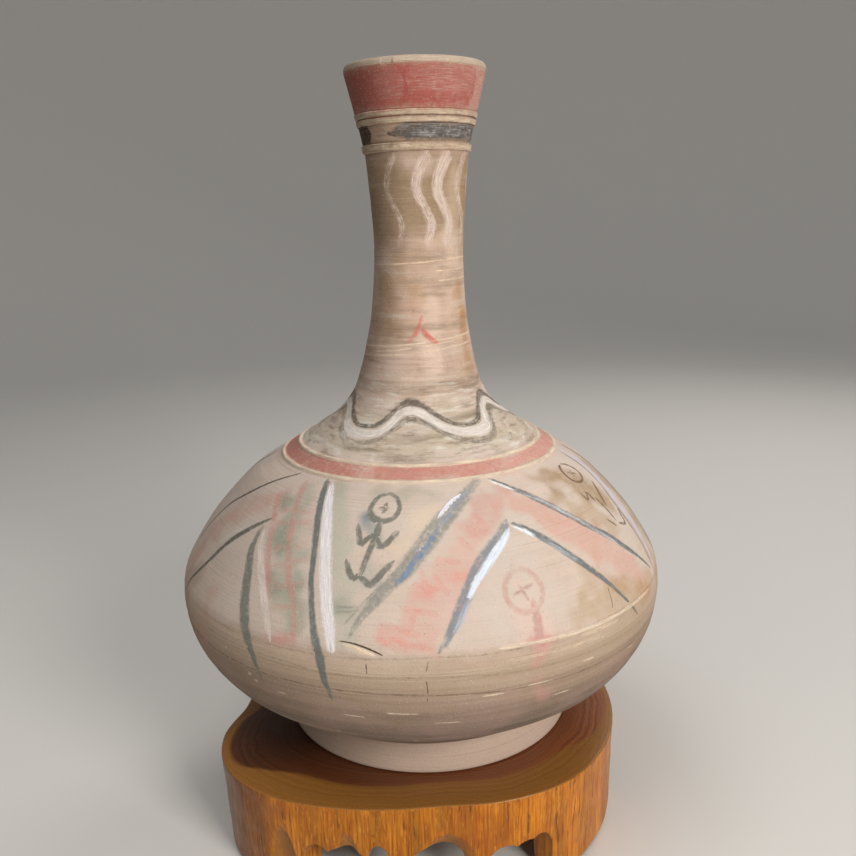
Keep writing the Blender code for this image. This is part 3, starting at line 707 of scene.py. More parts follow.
# The belly's panels are painted twice round, the second time behind
for turn, behind in ((0.0, False), (180.0, True)):
    def line(paint, colour, load, points, width=None):
        """A line of the brush, in both panels."""
        brush(paint, colour, load, [(p[0] + turn, *p[1:]) for p in points], width)

    # Two arrows at the left: thin, then broad, lines that meet in a point
    line("dark", "#565146", 0.76, [(-50, 156.5, 0.4), (-58.2, 151.5, 0.7), (-65.5, 144, 0.85),
        (-72.6, 135.3, 0.85), (-76.2, 125.9, 0.7), (-80, 110, 0.4)])
    line("dark", "#5f5e54", 0.72, [(-45.5, 139.6, 0.5), (-50.5, 134.2, 1.3), (-55.6, 127, 1.6),
        (-58.8, 120, 1.5), (-61.8, 112.3, 1.2), (-67, 100, 1.0), (-70, 91, 0.6)])
    line("white", "#cbc5b8", 0.52, [(-50, 137.4, 0.6), (-56, 130.4, 1.0), (-59.6, 125.4, 1.0),
        (-63.2, 118.2, 0.6)])
    line("dark", "#747770", 0.72, [(-47.3, 136.2, 1.0), (-46.5, 127.6, 2.0), (-43.6, 118.2, 2.7),
        (-41.2, 107.5, 3.0), (-39.2, 99.6, 3.1), (-37.4, 91, 2.5), (-36, 84, 1.6), (-35, 77, 1.2),
        (-34.0, 69, 0.6)])
    line("white", "#dccdc2", 0.78, [(-45.9, 134.8, 0.9), (-43.6, 128.1, 1.5), (-40.2, 121.2, 1.9),
        (-36.6, 112.3, 2.1), (-34.0, 104.8, 1.9), (-32, 97.6, 1.2), (-31.3, 93.6, 0.6)])
    # The upright pair: dark beside white
    line("dark", "#686d6a", 0.76, [(-35.7, 157, 1.5), (-31.0, 147.5, 1.8), (-27.3, 134.5, 1.6),
        (-24.8, 120.5, 1.4), (-22.4, 106.5, 1.6), (-21.0, 99, 2.0), (-19.7, 90.5, 2.2),
        (-19.0, 81, 1.5), (-17.8, 70, 0.6)])
    line("white", "#e4dedf", 0.84, [(-32.4, 155.8, 1.3), (-27.1, 145, 2.5), (-22.9, 129, 2.8),
        (-20.2, 114.5, 2.8), (-18.3, 103.5, 2.5), (-17.2, 94, 1.6)])
    # The slanting band between two broad grey strokes
    line("dark", "#8b8b82", 0.62, [(23.3, 157.5, 1.4), (17.2, 154.0, 2.6), (11.8, 149.8, 3.6),
        (7.2, 145.2, 4.2), (3.0, 138.8, 4.4), (-0.4, 132.8, 4.2), (-3.2, 127.2, 3.8),
        (-7.4, 120.4, 3.3), (-10.2, 114, 2.5), (-12.6, 107.4, 1.5), (-14.2, 100.6, 0.5)])
    line("dark", "#7f858a", 0.70, [(25, 142.4, 1.6), (22.6, 138.3, 2.4), (19.2, 134.0, 2.9),
        (15.9, 129.6, 3.1), (12.3, 123.0, 3.0), (8.4, 111.5, 2.5), (5.5, 101.5, 1.6),
        (3.3, 95.0, 0.5)])
    line("dark", "#626a6c", 0.66, [(26, 157, 1.0), (34.3, 150.8, 1.7), (40.4, 144.4, 1.8),
        (45.5, 137.9, 1.8), (50, 131.4, 1.9), (55, 124.5, 1.9), (59, 117.5, 1.7), (64, 108, 1.1),
        (68, 98, 0.5)])
    line("dark", "#646c70", 0.72, [(25.8, 140.8, 1.2), (30.0, 136.8, 1.7), (34.3, 131.2, 1.9),
        (38.2, 124.4, 1.8), (42.0, 117.2, 1.7), (46.0, 108.3, 1.3), (49, 100, 0.9),
        (54.3, 85.5, 0.4)])
    line("light", "#efeeea", 0.60, [(25.6, 156.4, 0.6), (30.3, 153.3, 0.8), (33.3, 151.0, 0.5)])
    line("light", "#c3cccf", 0.46, [(33.3, 151.2, 0.7), (38.4, 146.8, 0.9), (42.8, 141.8, 1.0),
        (49.0, 133.2, 1.0), (53.4, 126.0, 0.9), (58.5, 117.0, 0.6)])
    line("light", "#e6ebee", 0.62, [(25.6, 140.0, 0.8), (28.8, 137.0, 1.1), (31.6, 133.6, 0.8)])
    line("light", "#b9c3c9", 0.46, [(31.6, 133.8, 0.8), (36.4, 127.2, 1.0), (40.6, 119.6, 0.7)])
    # Soft colour between the lines: pink bands and a pale field
    line("wash", "#c48a7d", 0.46, [(28, 153, 5), (21, 147, 8), (15, 139, 9)])
    line("wash", "#d58f80", 0.30, [(16, 142, 7), (10, 130, 10), (4, 115, 12), (0, 100, 12)])
    line("wash", "#cd8d7c", 0.46, [(28, 150, 5), (36, 142, 8), (44.5, 131, 10), (52.5, 117, 11),
        (58, 102, 10), (63, 90, 8)])
    line("wash", "#c78778", 0.34, [(-46, 149, 3), (-56, 142, 6), (-65, 132, 7), (-69, 124, 7),
        (-73, 108, 7), (-75, 92, 6)])
    line("wash", "#c98f80", 0.34, [(-53, 104, 4), (-53, 93, 4), (-57, 75, 3)])
    # The upright pair that parts one panel from the next
    line("dark", "#7c7880", 0.66, [(77, 157, 0.7), (74.6, 139, 0.9), (72.6, 132, 1.1),
        (71.4, 124, 1.0), (71.2, 112, 0.9), (70.4, 104, 0.6), (69, 95, 0.3)])
    line("light", "#c6c1cb", 0.66, [(81, 157, 1.2), (79.5, 150, 2.6), (77.2, 140, 3.4),
        (75.4, 128, 3.4), (74.4, 114, 3.0), (73, 105, 2.2), (70.6, 97, 1.0)])
    line("dark", "#77777a", 0.74, [(90, 156, 1.2), (87.5, 146, 1.6), (85.6, 130, 1.8),
        (84.4, 112, 1.8), (81.6, 98, 1.4), (78, 88, 0.6)])
    # A stroke figure with a ring for a head
    tone = "#6f6f66" if not behind else "#7b7266"
    line("dark", tone, 0.66, [(-8.9, 153.9, 1.0), (-12.6, 153.1, 1.1), (-14.3, 150.2, 1.2),
        (-14.0, 147.2, 1.7), (-12.0, 145.2, 2.0), (-9.4, 144.9, 1.5), (-7.0, 146.2, 1.2),
        (-5.7, 149.2, 1.1), (-6.8, 152.4, 1.1), (-9.0, 153.9, 1.1), (-11.0, 153.8, 1.0)])
    for points in ([(-10.8, 145.4, 1.6), (-11.2, 139.4, 1.8), (-12.1, 134.5, 1.4),
            (-12.8, 130, 1.4), (-13.6, 123.8, 1.3)], [(-17.0, 144.0, 1.0), (-16.0, 140, 1.4),
            (-14.7, 136.6, 1.4), (-13.2, 138.5, 1.3), (-11.9, 139.3, 1.3), (-10.6, 137.6, 1.4),
            (-9.4, 135.9, 1.6), (-7.8, 137.3, 1.4), (-6.4, 139.8, 1.4), (-5.0, 141.6, 1.6)],
            [(-17.8, 130.8, 1.0), (-16.4, 126.4, 1.4), (-15.1, 123.9, 1.4), (-13.6, 124.6, 1.3),
            (-12.2, 123.0, 1.5), (-10.9, 121.9, 1.7), (-9.6, 123.7, 1.7), (-7.8, 127.3, 1.5),
            (-5.6, 131.0, 1.0)]):
        line("dark", tone, 0.70, points)
    line("dark", "#756c61", 0.70, [(-12.2, 149.4, 0.7), (-10.3, 149.0, 1.3), (-8.6, 149.6, 0.8)])
    line("dark", "#756c61", 0.70, [(-9.9, 151.2, 0.8), (-10.0, 149.0, 1.2), (-10.6, 147.4, 0.8)])

# Blue and blue-white in the two slanting strokes at the front
brush("light", "#e2e2ec", 0.76, [(15.0, 153.3, 0.6), (10.9, 151.3, 1.1), (8.0, 148.7, 1.0),
    (5.2, 145.2, 0.6)])
brush("light", "#8d96a0", 0.52, [(18.8, 155.3, 1.0), (13.0, 151.2, 1.6), (8.4, 146.6, 1.6),
    (4.6, 141.0, 1.2)])
brush("light", "#72869e", 0.60, [(5.6, 142.4, 0.9), (2.8, 137.4, 1.6), (0.5, 133.4, 1.8),
    (-1.4, 129.6, 1.4), (-3.6, 124.9, 1.4), (-5.6, 121.0, 0.8)])
brush("light", "#c4d0dc", 0.46, [(3.6, 139.9, 0.6), (1.1, 135.6, 0.8), (-0.8, 132.2, 0.6)])
brush("light", "#dbe3ee", 0.80, [(24.8, 139.2, 1.0), (22.0, 135.2, 1.7), (18.5, 130.6, 1.9),
    (15.1, 125.7, 1.8), (12.3, 120.4, 1.5), (10.2, 114.4, 1.0)])
brush("light", "#a9b3c6", 0.56, [(10.8, 116.2, 1.0), (8.8, 109.2, 1.4), (6.6, 102.4, 1.0)])

# Dry hairs of the brush beside the slanting stroke
for points in ([(-8.6, 121.4), (-12.0, 114.4), (-15.6, 105.6)], [(-7.0, 119.0), (-10.4, 111.6),
        (-13.2, 104.0)], [(-18.4, 112.4), (-14.0, 113.0), (-9.6, 114.6)], [(-17.8, 110.4),
        (-14.0, 111.4), (-11.0, 112.2)]):
    brush("dark", "#85857b", 0.48, points, 0.5)

# Red checks over a grey-green field at the left
brush("wash", "#a3a491", 0.62, [(-42, 154, 4), (-37, 138, 7), (-31, 120, 8), (-27, 106, 6),
    (-25, 99, 4)])
for points in ([(-50.5, 149.5), (-44.6, 139.3), (-41.4, 131), (-37.3, 120.7), (-34, 110.5)],
        [(-44.6, 154.8), (-40.2, 147.9), (-36.7, 137.7), (-33.2, 127.2), (-30.1, 117.6),
        (-27.5, 110.1), (-25.6, 97)]):
    brush("red", "#c5877c", 0.48, points, 1.9)
for points in ([(-47, 143), (-32, 145.5)], [(-45.7, 136.8), (-38.2, 140.1), (-30.0, 141.8)],
        [(-40, 129), (-29.5, 134)], [(-37, 123.0), (-31.5, 126), (-27, 128.8)], [(-35.2, 115.2),
        (-26.0, 119.5)], [(-33.4, 107.5), (-25, 110.5)], [(-31.7, 94.6), (-24.4, 96.6)]):
    brush("red", "#c79286", 0.42, points, 1.6)
for points in ([(-39.6, 136.6), (-36.2, 129.6)], [(-35.6, 120.4), (-34.2, 115)], [(-28.8, 124.6),
        (-26.2, 111)], [(-47.2, 149), (-43, 144)]):
    brush("wash", "#858e7d", 0.50, points, 2.4)
brush("wash", "#cf8b7e", 0.50, [(-32, 96), (-24, 97.5)], 2.4)

# Broken red hatching in the slanting band
for points in ([(10, 138.5), (13.6, 133)], [(3.5, 131.0), (10.5, 128.6)], [(0.6, 127.5),
        (1.8, 118)], [(-1.5, 122.4), (7.5, 119)], [(3.5, 126), (6.5, 117)], [(-4.0, 113.6),
        (4.5, 110.4)], [(-1, 114.5), (-1.8, 104)], [(-8, 107.5), (0.5, 102.5)], [(-6.5, 101.8),
        (1.5, 98)], [(-9.5, 103), (-4, 97)], [(15, 147), (19, 141)], [(22, 149), (24, 146)]):
    brush("red", "#d48b7f", 0.38, points, 1.4)
for points in ([(-8, 104), (-3, 100)], [(-2, 98.6), (3, 97)], [(6.5, 127.6), (8.5, 124)], [(0, 121),
        (3.4, 118)]):
    brush("wash", "#d98d80", 0.50, points, 2.2)

# Grey-green field round the figure, greyer close to it, and paler at its right
brush("wash", "#b2b19f", 0.66, [(-28, 155, 4), (-22, 140, 6), (-19, 124, 7), (-16, 108, 7),
    (-14, 98, 4)])
brush("wash", "#9d9c86", 0.52, [(-30, 154, 2.5), (-17, 154.5, 3), (-4, 154.5, 3), (5, 153.8, 2)])
brush("wash", "#7d898a", 0.88, [(-16.0, 145.4, 2.8), (-13.4, 142.2, 3.3), (-12.2, 138.6, 2.4)])
brush("wash", "#d6cdb8", 0.70, [(-10.6, 149.8), (-9.6, 149.0)], 2.0)
brush("wash", "#a0a69c", 0.56, [(-11.5, 133, 2.4), (-11.5, 126, 3), (-9.5, 120, 3)])
brush("wash", "#96978a", 0.52, [(-19, 111.6, 2), (-14, 112.6, 2.5), (-9.6, 116, 2.5)])
brush("wash", "#dcc6ab", 0.60, [(4, 149, 4), (-1, 141, 5), (-5, 133, 4)])
# Faint red on the pale field at the right: a disc on a stem
brush("wash", "#dcb9ac", 0.50, [(24, 120, 6), (24, 108, 8), (24.5, 96, 8)])
circle("red", "#bd9186", 0.48, 23.2, 115.4, 4.4, 8.2, 1.3)
brush("red", "#a97c72", 0.50, [(20.2, 114.4), (22.6, 115.8), (26, 117.6)], 0.8)
brush("red", "#a97c72", 0.50, [(22.2, 118.6), (23.8, 111)], 0.8)
brush("red", "#bb8e86", 0.62, [(24.6, 112.5, 1.5), (24.5, 104, 2.2), (24.2, 97.5, 2.3),
    (25.0, 91.5, 1.8)])
brush("wash", "#c98f88", 0.60, [(23.5, 96, 2.6), (23.5, 82, 2.6), (24.5, 64, 1.8)])
brush("red", "#c08880", 0.50, [(21.0, 96.4), (29, 93.4)], 1.8)

# A small brown figure at the far right
circle("dark", "#6f543f", 0.70, 63.8, 149.6, 4.6, 3.9, 0.75)
brush("dark", "#7b604b", 0.62, [(61.4, 150.8, 0.5), (63.6, 149.6, 0.9), (66.0, 148.4, 0.5)])
brush("dark", "#7b604b", 0.62, [(64.8, 151.2, 0.5), (62.6, 148.0, 0.5)])
for points in ([(70.6, 143.4, 0.7), (67.3, 137.1, 1.0), (64.9, 132.0, 0.7)], [(57.2, 143.4, 0.5),
        (58.4, 139.4, 0.8), (60.8, 141.0, 0.7), (61.8, 136.2, 0.9)], [(63, 138.7, 0.6),
        (64, 131.8, 0.9), (64.3, 125.2, 0.7)], [(72.3, 131.6, 0.5), (70.6, 126.7, 0.8),
        (68.5, 122.3, 0.8), (64.4, 124.6, 0.6)], [(59.8, 129.4, 0.4), (62.8, 124.2, 0.7)]):
    brush("dark", "#6f5843", 0.68, points)
brush("wash", "#80673f", 0.55, [(46, 149.5), (50, 144)], 2.6)
brush("wash", "#a08a5c", 0.50, [(65.5, 136.4), (66.4, 133)], 1.8)
brush("wash", "#a98e68", 0.55, [(44, 146, 4), (54, 136, 6), (62, 124, 6)])
brush("wash", "#9c8059", 0.66, [(42, 154, 3), (52, 152, 5), (62, 144, 8), (68, 132, 8)])
brush("wash", "#b0966f", 0.58, [(33, 103, 4), (42, 103, 6), (52, 99, 8), (64, 94, 8)])
# Painted shade: a darker wash down the belly's right edge
brush("wash", "#9d886e", 0.60, [(82, 150, 6), (84, 120, 10), (84, 90, 12), (82, 70, 10)])
brush("wash", "#b79b7e", 0.58, [(40, 118, 3), (46, 108, 5), (56, 98, 6)])
brush("wash", "#a98f72", 0.50, [(76, 120, 6), (74, 100, 8), (74, 80, 8)])
brush("wash", "#a08672", 0.42, [(-62, 108, 5), (-70, 94, 8), (-66, 78, 8), (-56, 66, 6)])

# Rubbed ochre clay on the neck, a pale painted light down its right side, and grime on the shoulder
hoop("wash", "#d6bba2", 0.26, 240.0, 22.0)
brush("wash", "#9d7f5c", 0.50, [(-52, 258, 6), (-44, 242, 8), (-50, 222, 7)])
# Painted light: a pale wash down the right side of the neck
brush("wash", "#dcc4ad", 0.40, [(48, 308, 4), (50, 284, 5), (50, 256, 5), (46, 228, 5),
    (46, 200, 6)])
brush("wash", "#b07c45", 0.62, [(56, 248, 2.5), (64, 234, 4.5), (62, 222, 3)])
brush("wash", "#b58a58", 0.55, [(60, 212, 4), (60, 201, 4)])
brush("wash", "#a17f5a", 0.50, [(-46, 250, 4), (-34, 238, 4), (-20, 227, 4)])
brush("wash", "#9f7d5c", 0.45, [(-30, 262, 2), (0, 263, 2.5), (30, 263, 2)])
brush("wash", "#ad8a64", 0.50, [(-30, 258, 4), (-12, 250, 5), (-2, 244, 4)])
brush("wash", "#a9825c", 0.45, [(60, 300, 4), (75, 280, 5), (70, 262, 4)])
hoop("wash", "#b7aa90", 0.60, 170.0, 6.0)
hoop("wash", "#b5a68e", 0.55, 181.0, 6.0)
hoop("wash", "#a3947d", 0.35, 197.0, 5.0)

# Marks that are in the clay, not on it: (azimuth, height, half width, mm),
# and how deep they are cut, mm. A negative cut stands proud.
CUTS = (
    (0.35, [(-16.2, 99.8, 0.9), (-13.6, 99.4, 1.4), (-11.0, 98.2, 1.7), (-8.8, 96.6, 1.5),
            (-7.0, 94.8, 0.8)]),
    (-0.35, [(-15.0, 97.6, 1.2), (-12.8, 96.4, 1.6), (-10.6, 95.0, 1.6), (-8.6, 93.6, 1.2)]),
    (-0.7, [(15, 95.3, 0.8), (28.5, 94.4, 1.5), (39.5, 93.6, 1.5), (52, 93.4, 1.2), (64, 93.0, 0.6)]),
    (0.6, [(15, 92.9, 1.0), (28.5, 91.9, 1.8), (39.5, 91.0, 1.8), (52, 90.8, 1.2)]),
    (-0.5, [(16, 89.0, 0.8), (27, 88.2, 1.4), (41, 87.4, 1.0)]),
    (0.3, [(-60, 93, 1.0), (-17.5, 92.8, 1.4), (2, 93.8, 1.2), (14, 93.2, 0.6)]),
    (0.45, [(-70, 84.5, 1.0), (-17.5, 84.0, 1.4), (1.5, 84.6, 1.4), (21.5, 81, 1.4), (60, 79.5, 1.0)]),
    (0.55, [(-100, 79.5, 1.0), (-37.5, 77, 1.5), (-18, 76.2, 1.5), (1.5, 75.5, 1.5), (21.5, 72, 1.4),
            (40, 69.8, 1.2), (90, 69, 0.8)]),
    (-0.4, [(-8, 65.8, 0.8), (-3, 65.5, 1.2), (5, 64.4, 1.2), (10, 63.8, 0.7)]),
    (0.4, [(-120, 58, 0.8), (-15.5, 57, 1.3), (1.5, 56, 1.3), (16.5, 53.8, 1.3), (120, 54, 0.8)]),
    (0.6, [(-27, 357.4, 0.8), (-21, 357.1, 1.5), (-16, 357.5, 0.9)]),
    (0.5, [(27, 356.9, 0.8), (33, 356.6, 1.4), (40, 357.0, 0.8)]),
    (0.6, [(60, 357.4, 0.8), (66, 357.0, 1.6), (72, 357.4, 0.8)]),
    (0.6, [(150, 357.4, 0.8), (158, 357.0, 1.6), (164, 357.4, 0.8)]),
    (0.4, [(10, 331.2, 0.7), (15, 331.0, 1.2), (20, 331.3, 0.7)]),
    (0.4, [(-36, 318.6, 0.7), (-30, 318.2, 1.2), (-25, 318.6, 0.7)]),
)
# Their colours: fine dark lines in the grooves, which are painted shade, and light ones on the ridges,
# which are painted highlights
brush("dark", "#3a2c20", 1.0, [(-16.2, 99.8, 0.2), (-13.6, 99.4, 0.32), (-11.0, 98.2, 0.42),
    (-8.8, 96.6, 0.4), (-7.0, 94.8, 0.2)])
brush("white", "#dcc6ac", 0.85, [(-15.4, 98.6, 0.5), (-13.0, 97.7, 1.0), (-10.8, 96.3, 1.0),
    (-8.6, 94.7, 0.5)])
for points in ([(1.5, 92.5), (1.0, 87)], [(1.0, 84.5), (1.2, 78), (1.0, 71.5)], [(-10.4, 91.5),
        (-10.2, 86)]):
    brush("dark", "#5b4838", 0.8, points, 0.22)
brush("dark", "#6b5746", 0.7, [(45.5, 106.5), (45.0, 101), (44.4, 97)], 0.25)
# Painted shade along the grooves round the lower belly
brush("dark", "#85705c", 0.36, [(-60, 93), (-17.5, 92.8), (2, 94), (14, 93.3), (40, 94.6),
    (70, 94)], 0.4)
brush("dark", "#85705c", 0.36, [(-90, 85), (-37, 87), (-17.5, 84.6), (1.5, 84.8), (21.5, 82.5),
    (60, 81)], 0.4)
brush("dark", "#6f5c4a", 0.50, [(-100, 77.5), (-37.5, 76.6), (-18, 76.4), (1.5, 75.6), (21.5, 73.5),
    (60, 72)], 0.35)
# Painted highlights along the ridges of the lower belly
brush("white", "#dccab3", 0.66, [(15, 95.3), (28.5, 94.4), (39.5, 93.6), (52, 93.4), (62, 93)], 0.7)
brush("white", "#d2bda4", 0.56, [(34, 91.6), (39.5, 91.0), (46, 90.6)], 0.8)
brush("white", "#cdb69b", 0.50, [(17, 89.2), (27, 88.4), (40, 87.7)], 0.5)
for azimuth, z, length in ((-4, 65.5, 7), (14, 72.5, 5), (24, 74, 6), (36, 78, 4), (-14, 62, 5),
        (5, 58.5, 6), (30, 64, 5), (52, 70, 3), (-30, 68, 3)):
    brush("white", "#d3c3ac", 0.56, [(azimuth - length / 2, z + 0.2), (azimuth, z),
        (azimuth + length / 2, z - 0.1)], 0.35)
# A dark seam where the belly meets the foot
hoop("dark", "#3f342b", 0.82, 16.4, 0.6, -205.0, 40.0)
hoop("dark", "#5d4d40", 0.50, 16.4, 0.45, 38.0, 156.0)
# Chips, where lighter clay shows: azimuth, height, size mm
CHIPS = ((-2.5, 41, 1.6), (-45, 82, 1.2), (-40.5, 76, 1.0), (-38, 73, 1.3), (-36.5, 70, 1.0),
         (49, 86, 1.0), (40, 86.5, 0.9), (57, 71, 1.2), (62, 64, 1.0), (54, 60, 1.3), (-20, 46, 1.1),
         (26, 318, 0.8), (-52, 341, 0.7), (8, 267, 0.9), (34, 263.5, 0.9), (14, 322, 0.6),
         (130, 95, 1.4), (170, 60, 1.5), (205, 120, 1.2), (240, 75, 1.3), (-25, 18, 1.4), (48, 11, 1.2))
for azimuth, z, size in CHIPS:
    brush("white", "#dbcab2", 0.9, [(azimuth - 0.3 * size, z, size * 0.5),
        (azimuth, z + 0.2, size * 0.8), (azimuth + 0.4 * size, z - 0.2, size * 0.4)])


# A line is laid at places about 1.5 mm apart, and keeps this share of its load
# at its ends
PLACE_STEP = 1.5
FEWEST_PLACES = 10
DRY_TOUCH = 0.72


def laid(points):
    """A brush line over the pot: places, half widths, way along, all mm, and its load's share."""
    values = np.array(points, float)
    knots = np.arange(len(values))
    reach = np.hypot(np.diff(np.radians(values[:, 0])) * outline(values[:-1, 1]), np.diff(values[:, 1]))
    t = np.linspace(0.0, knots[-1], max(FEWEST_PLACES, int(reach.sum() / PLACE_STEP)))
    azimuth, z, width = (smooth(list(zip(knots, column)), t) for column in values.T)
    radius = outline(z)
    azimuth = np.radians(azimuth)
    path = np.stack([radius * np.sin(azimuth) + lean(z), -radius * np.cos(azimuth), z], 1)
    way = np.append(0.0, np.cumsum(np.linalg.norm(np.diff(path, axis=0), axis=1)))
    # A brush leaves round ends, and its last touch is drier
    from_end = np.minimum(way, way[-1] - way)
    round_end = np.clip(from_end / np.maximum(width, 0.1), 0.0, 1.0)
    width = np.maximum(width * np.sqrt(np.maximum(1 - (1 - round_end)**2, 0.0)), 0.05)
    full = np.clip(from_end / (4 * width.max()), 0.0, 1.0)
    return path, width, way, DRY_TOUCH + (1 - DRY_TOUCH) * full


def close_to(spots, path, reach):
    """Which spots lie in the box round a path, and their distances to all its places."""
    close = np.flatnonzero(((spots > path.min(0) - reach) & (spots < path.max(0) + reach)).all(1))
    return close, np.linalg.norm((spots[close][:, None] - path[None]).astype(np.float32), axis=2)


def measure(spots, normals, path, width, way, k):
    """Distance across a line, way along it, and half width left, mm, near its k-th place."""
    before, after = np.maximum(k - 1, 0), np.minimum(k + 1, len(path) - 1)
    ahead = path[after] - path[before]
    ahead /= np.linalg.norm(ahead, axis=1)[:, None]
    beside = np.cross(ahead, normals)
    delta = spots - path[k]
    along = way[k] + (delta * ahead).sum(1)
    past = np.maximum(np.maximum(-along, along - way[-1]), 0.0)
    return (delta * beside).sum(1), along, np.interp(along, way, width) - past


def triples(elements, name):
    """A three-part property of every vertex or face."""
    values = np.empty(len(elements) * 3, np.float32)
    elements.foreach_get(name, values)
    return values.reshape(-1, 3).astype(float)


def in_mm(places):
    """Places in mm above the foot's base."""
    places[:, 2] -= bottle_base
    return places / MM


# Spots deeper in the wall than this are on its inside
SKIN = 2.5


def on_outside(spots):
    """Which spots are on the outside of the pot."""
    reach = np.hypot(spots[:, 0] - lean(spots[:, 2]), spots[:, 1])
    return reach > outline(spots[:, 2]) - SKIN


# Cuts and ridges move the clay itself, and slope down over a strip beside them
CUT_REACH = 4.0
CUT_SLOPE = 1.6
vertex_places = in_mm(triples(pot_mesh.vertices, "co"))
vertex_normals = triples(pot_mesh.vertices, "normal")
outside = np.flatnonzero(on_outside(vertex_places))
shift = np.zeros(len(vertex_places))
for cut, points in CUTS:
    path, width, way, _ = laid(points)
    close, gaps = close_to(vertex_places[outside], path, width.max() + CUT_REACH)
    close = outside[close]
    across, along, half = measure(vertex_places[close], vertex_normals[close], path, width, way,
                                  gaps.argmin(1))
    share = np.clip(np.abs(across) / np.maximum(half * CUT_SLOPE, 0.01), 0.0, 1.0)
    shift[close] -= cut * np.where(half > 0, (1 - share**2)**2, 0.0)
vertex_places += vertex_normals * shift[:, None]
moved = vertex_places * MM
moved[:, 2] += bottle_base
pot_mesh.vertices.foreach_set("co", moved.astype(np.float32).ravel())
pot_mesh.update()

corner_count, face_count = len(pot_mesh.loops), len(pot_mesh.polygons)
corner_vertex = np.empty(corner_count, np.int32)
pot_mesh.loops.foreach_get("vertex_index", corner_vertex)
first_corner = np.empty(face_count, np.int32)
pot_mesh.polygons.foreach_get("loop_start", first_corner)
face_of_corner = np.searchsorted(first_corner, np.arange(corner_count), "right") - 1
centres = in_mm(triples(pot_mesh.polygons, "center"))
face_normals = triples(pot_mesh.polygons, "normal")
painted_faces = np.flatnonzero(on_outside(centres))

# Washes are thin and soft, so each is blended into those laid before it
WASH_EDGE = 3.5
WASH_REACH = 10.0
UNEVEN = 7.0
wash = np.zeros((len(vertex_places), 4))
uneven = np.array([noise.noise(Vector(spot) * 0.11) for spot in vertex_places[outside]]) * UNEVEN
for colour, points in marks.pop("wash"):
    path, width, way, _ = laid(points)
    close, gaps = close_to(vertex_places[outside], path, width.max() + WASH_REACH)
    depth = np.clip(((width - gaps).max(1) + uneven[close]) / WASH_EDGE / 2 + 0.5, 0.0, 1.0)
    share = colour[3] * depth**2 * (3 - 2 * depth)
    close = outside[close]
    kept = wash[close, 3] * (1 - share)
    total = np.maximum(share + kept, 1e-6)
    wash[close, :3] = (np.outer(share, colour[:3]) + wash[close, :3] * kept[:, None]) / total[:, None]
    wash[close, 3] = share + kept
layer = pot_mesh.attributes.new("wash_tint", "FLOAT_COLOR", "POINT")
layer.data.foreach_set("color", wash.astype(np.float32).ravel())

# A line of the brush keeps its sharp edge: every corner of a face knows how far
# it lies across and along the line that is nearest to the face. No two lines
# have the same streaks, because each starts its count of the way further on.
FAR = 50.0
LINE_REACH = 9.0
NEXT_LINE = 190.0
POT_CREASE = radians(52)
for paint, lines in marks.items():
    mark = np.tile([FAR, 0.0, -FAR], (corner_count, 1))
    tint = np.zeros((corner_count, 4))
    best = np.full(face_count, LINE_REACH)
    for number, (colour, points) in enumerate(lines):
        path, width, way, full = laid(points)
        close, gaps = close_to(centres[painted_faces], path, width.max() + LINE_REACH)
        close = painted_faces[close]
        gaps -= width
        choice = gaps.argmin(1)
        gap = gaps[np.arange(len(close)), choice]
        better = gap < best[close]
        close, choice = close[better], choice[better]
        best[close] = gap[better]
        chosen = np.full(face_count, -1)
        chosen[close] = choice
        corners = np.flatnonzero(chosen[face_of_corner] >= 0)
        owner = face_of_corner[corners]
        mark[corners] = np.stack(measure(vertex_places[corner_vertex[corners]], face_normals[owner],
                                         path, width, way, chosen[owner]), 1)
        tint[corners] = colour
        tint[corners, 3] *= np.interp(mark[corners, 1], way, full)
        mark[corners, 1] += NEXT_LINE * number
    layer = pot_mesh.attributes.new(paint + "_mark", "FLOAT_VECTOR", "CORNER")
    layer.data.foreach_set("vector", mark.astype(np.float32).ravel())
    layer = pot_mesh.attributes.new(paint + "_tint", "FLOAT_COLOR", "CORNER")
    layer.data.foreach_set("color", tint.astype(np.float32).ravel())
pot_mesh.set_sharp_from_angle(angle=POT_CREASE)

# Unglazed earthenware: pinkish-buff fired clay, gritty and quite matt. The wheel drew
# fine lines round it, and years in the ground left ochre stains and pale and dark
# specks. Low on the belly the clay is darker.
place = add(tree, "ShaderNodeTexCoord").outputs["Object"]
cloudy, mottled, grit, wobble = [
    add(tree, "ShaderNodeTexNoise", {"Vector": place, "Scale": scale, "Detail": detail,
                                     "Roughness": roughness}).outputs[0]
    for scale, detail, roughness in ((26.0, 5.0, 0.6), (110.0, 5.0, 0.65), (950.0, 3.0, 0.5),
                                     (420.0, 3.0, 0.5))]
# What the wheel drew out is long round the pot and fine up it. How many cells a
# metre holds round and up, and detail:
WHEEL_PATTERNS = ((6, 430, 4.0), (9, 1350, 2.0), (5, 95, 3.0), (24, 190, 5.0), (70, 420, 4.0))
patterns = []
for round_it, up_it, detail in WHEEL_PATTERNS:
    spot = add(tree, "ShaderNodeVectorMath", {0: place, 1: (round_it, round_it, up_it)},
               operation="MULTIPLY")
    patterns.append(add(tree, "ShaderNodeTexNoise", {
        "Vector": spot, "Scale": 1.0, "Detail": detail, "Roughness": 0.6, "Distortion": 0.12}).outputs[0])
wheel_lines, scratches, wheel_bands, smudges, dry_streaks = patterns
# Height on the pot, mm, and the same with a ragged border
up = add(tree, "ShaderNodeSeparateXYZ", {0: place}).outputs["Z"]
up_mm = add(tree, "ShaderNodeMath", {0: up, 1: 1 / MM, 2: -bottle_base / MM},
            operation="MULTIPLY_ADD").outputs[0]
ragged = add(tree, "ShaderNodeMath", {0: mottled, 1: 14.0, 2: up_mm},
             operation="MULTIPLY_ADD").outputs[0]

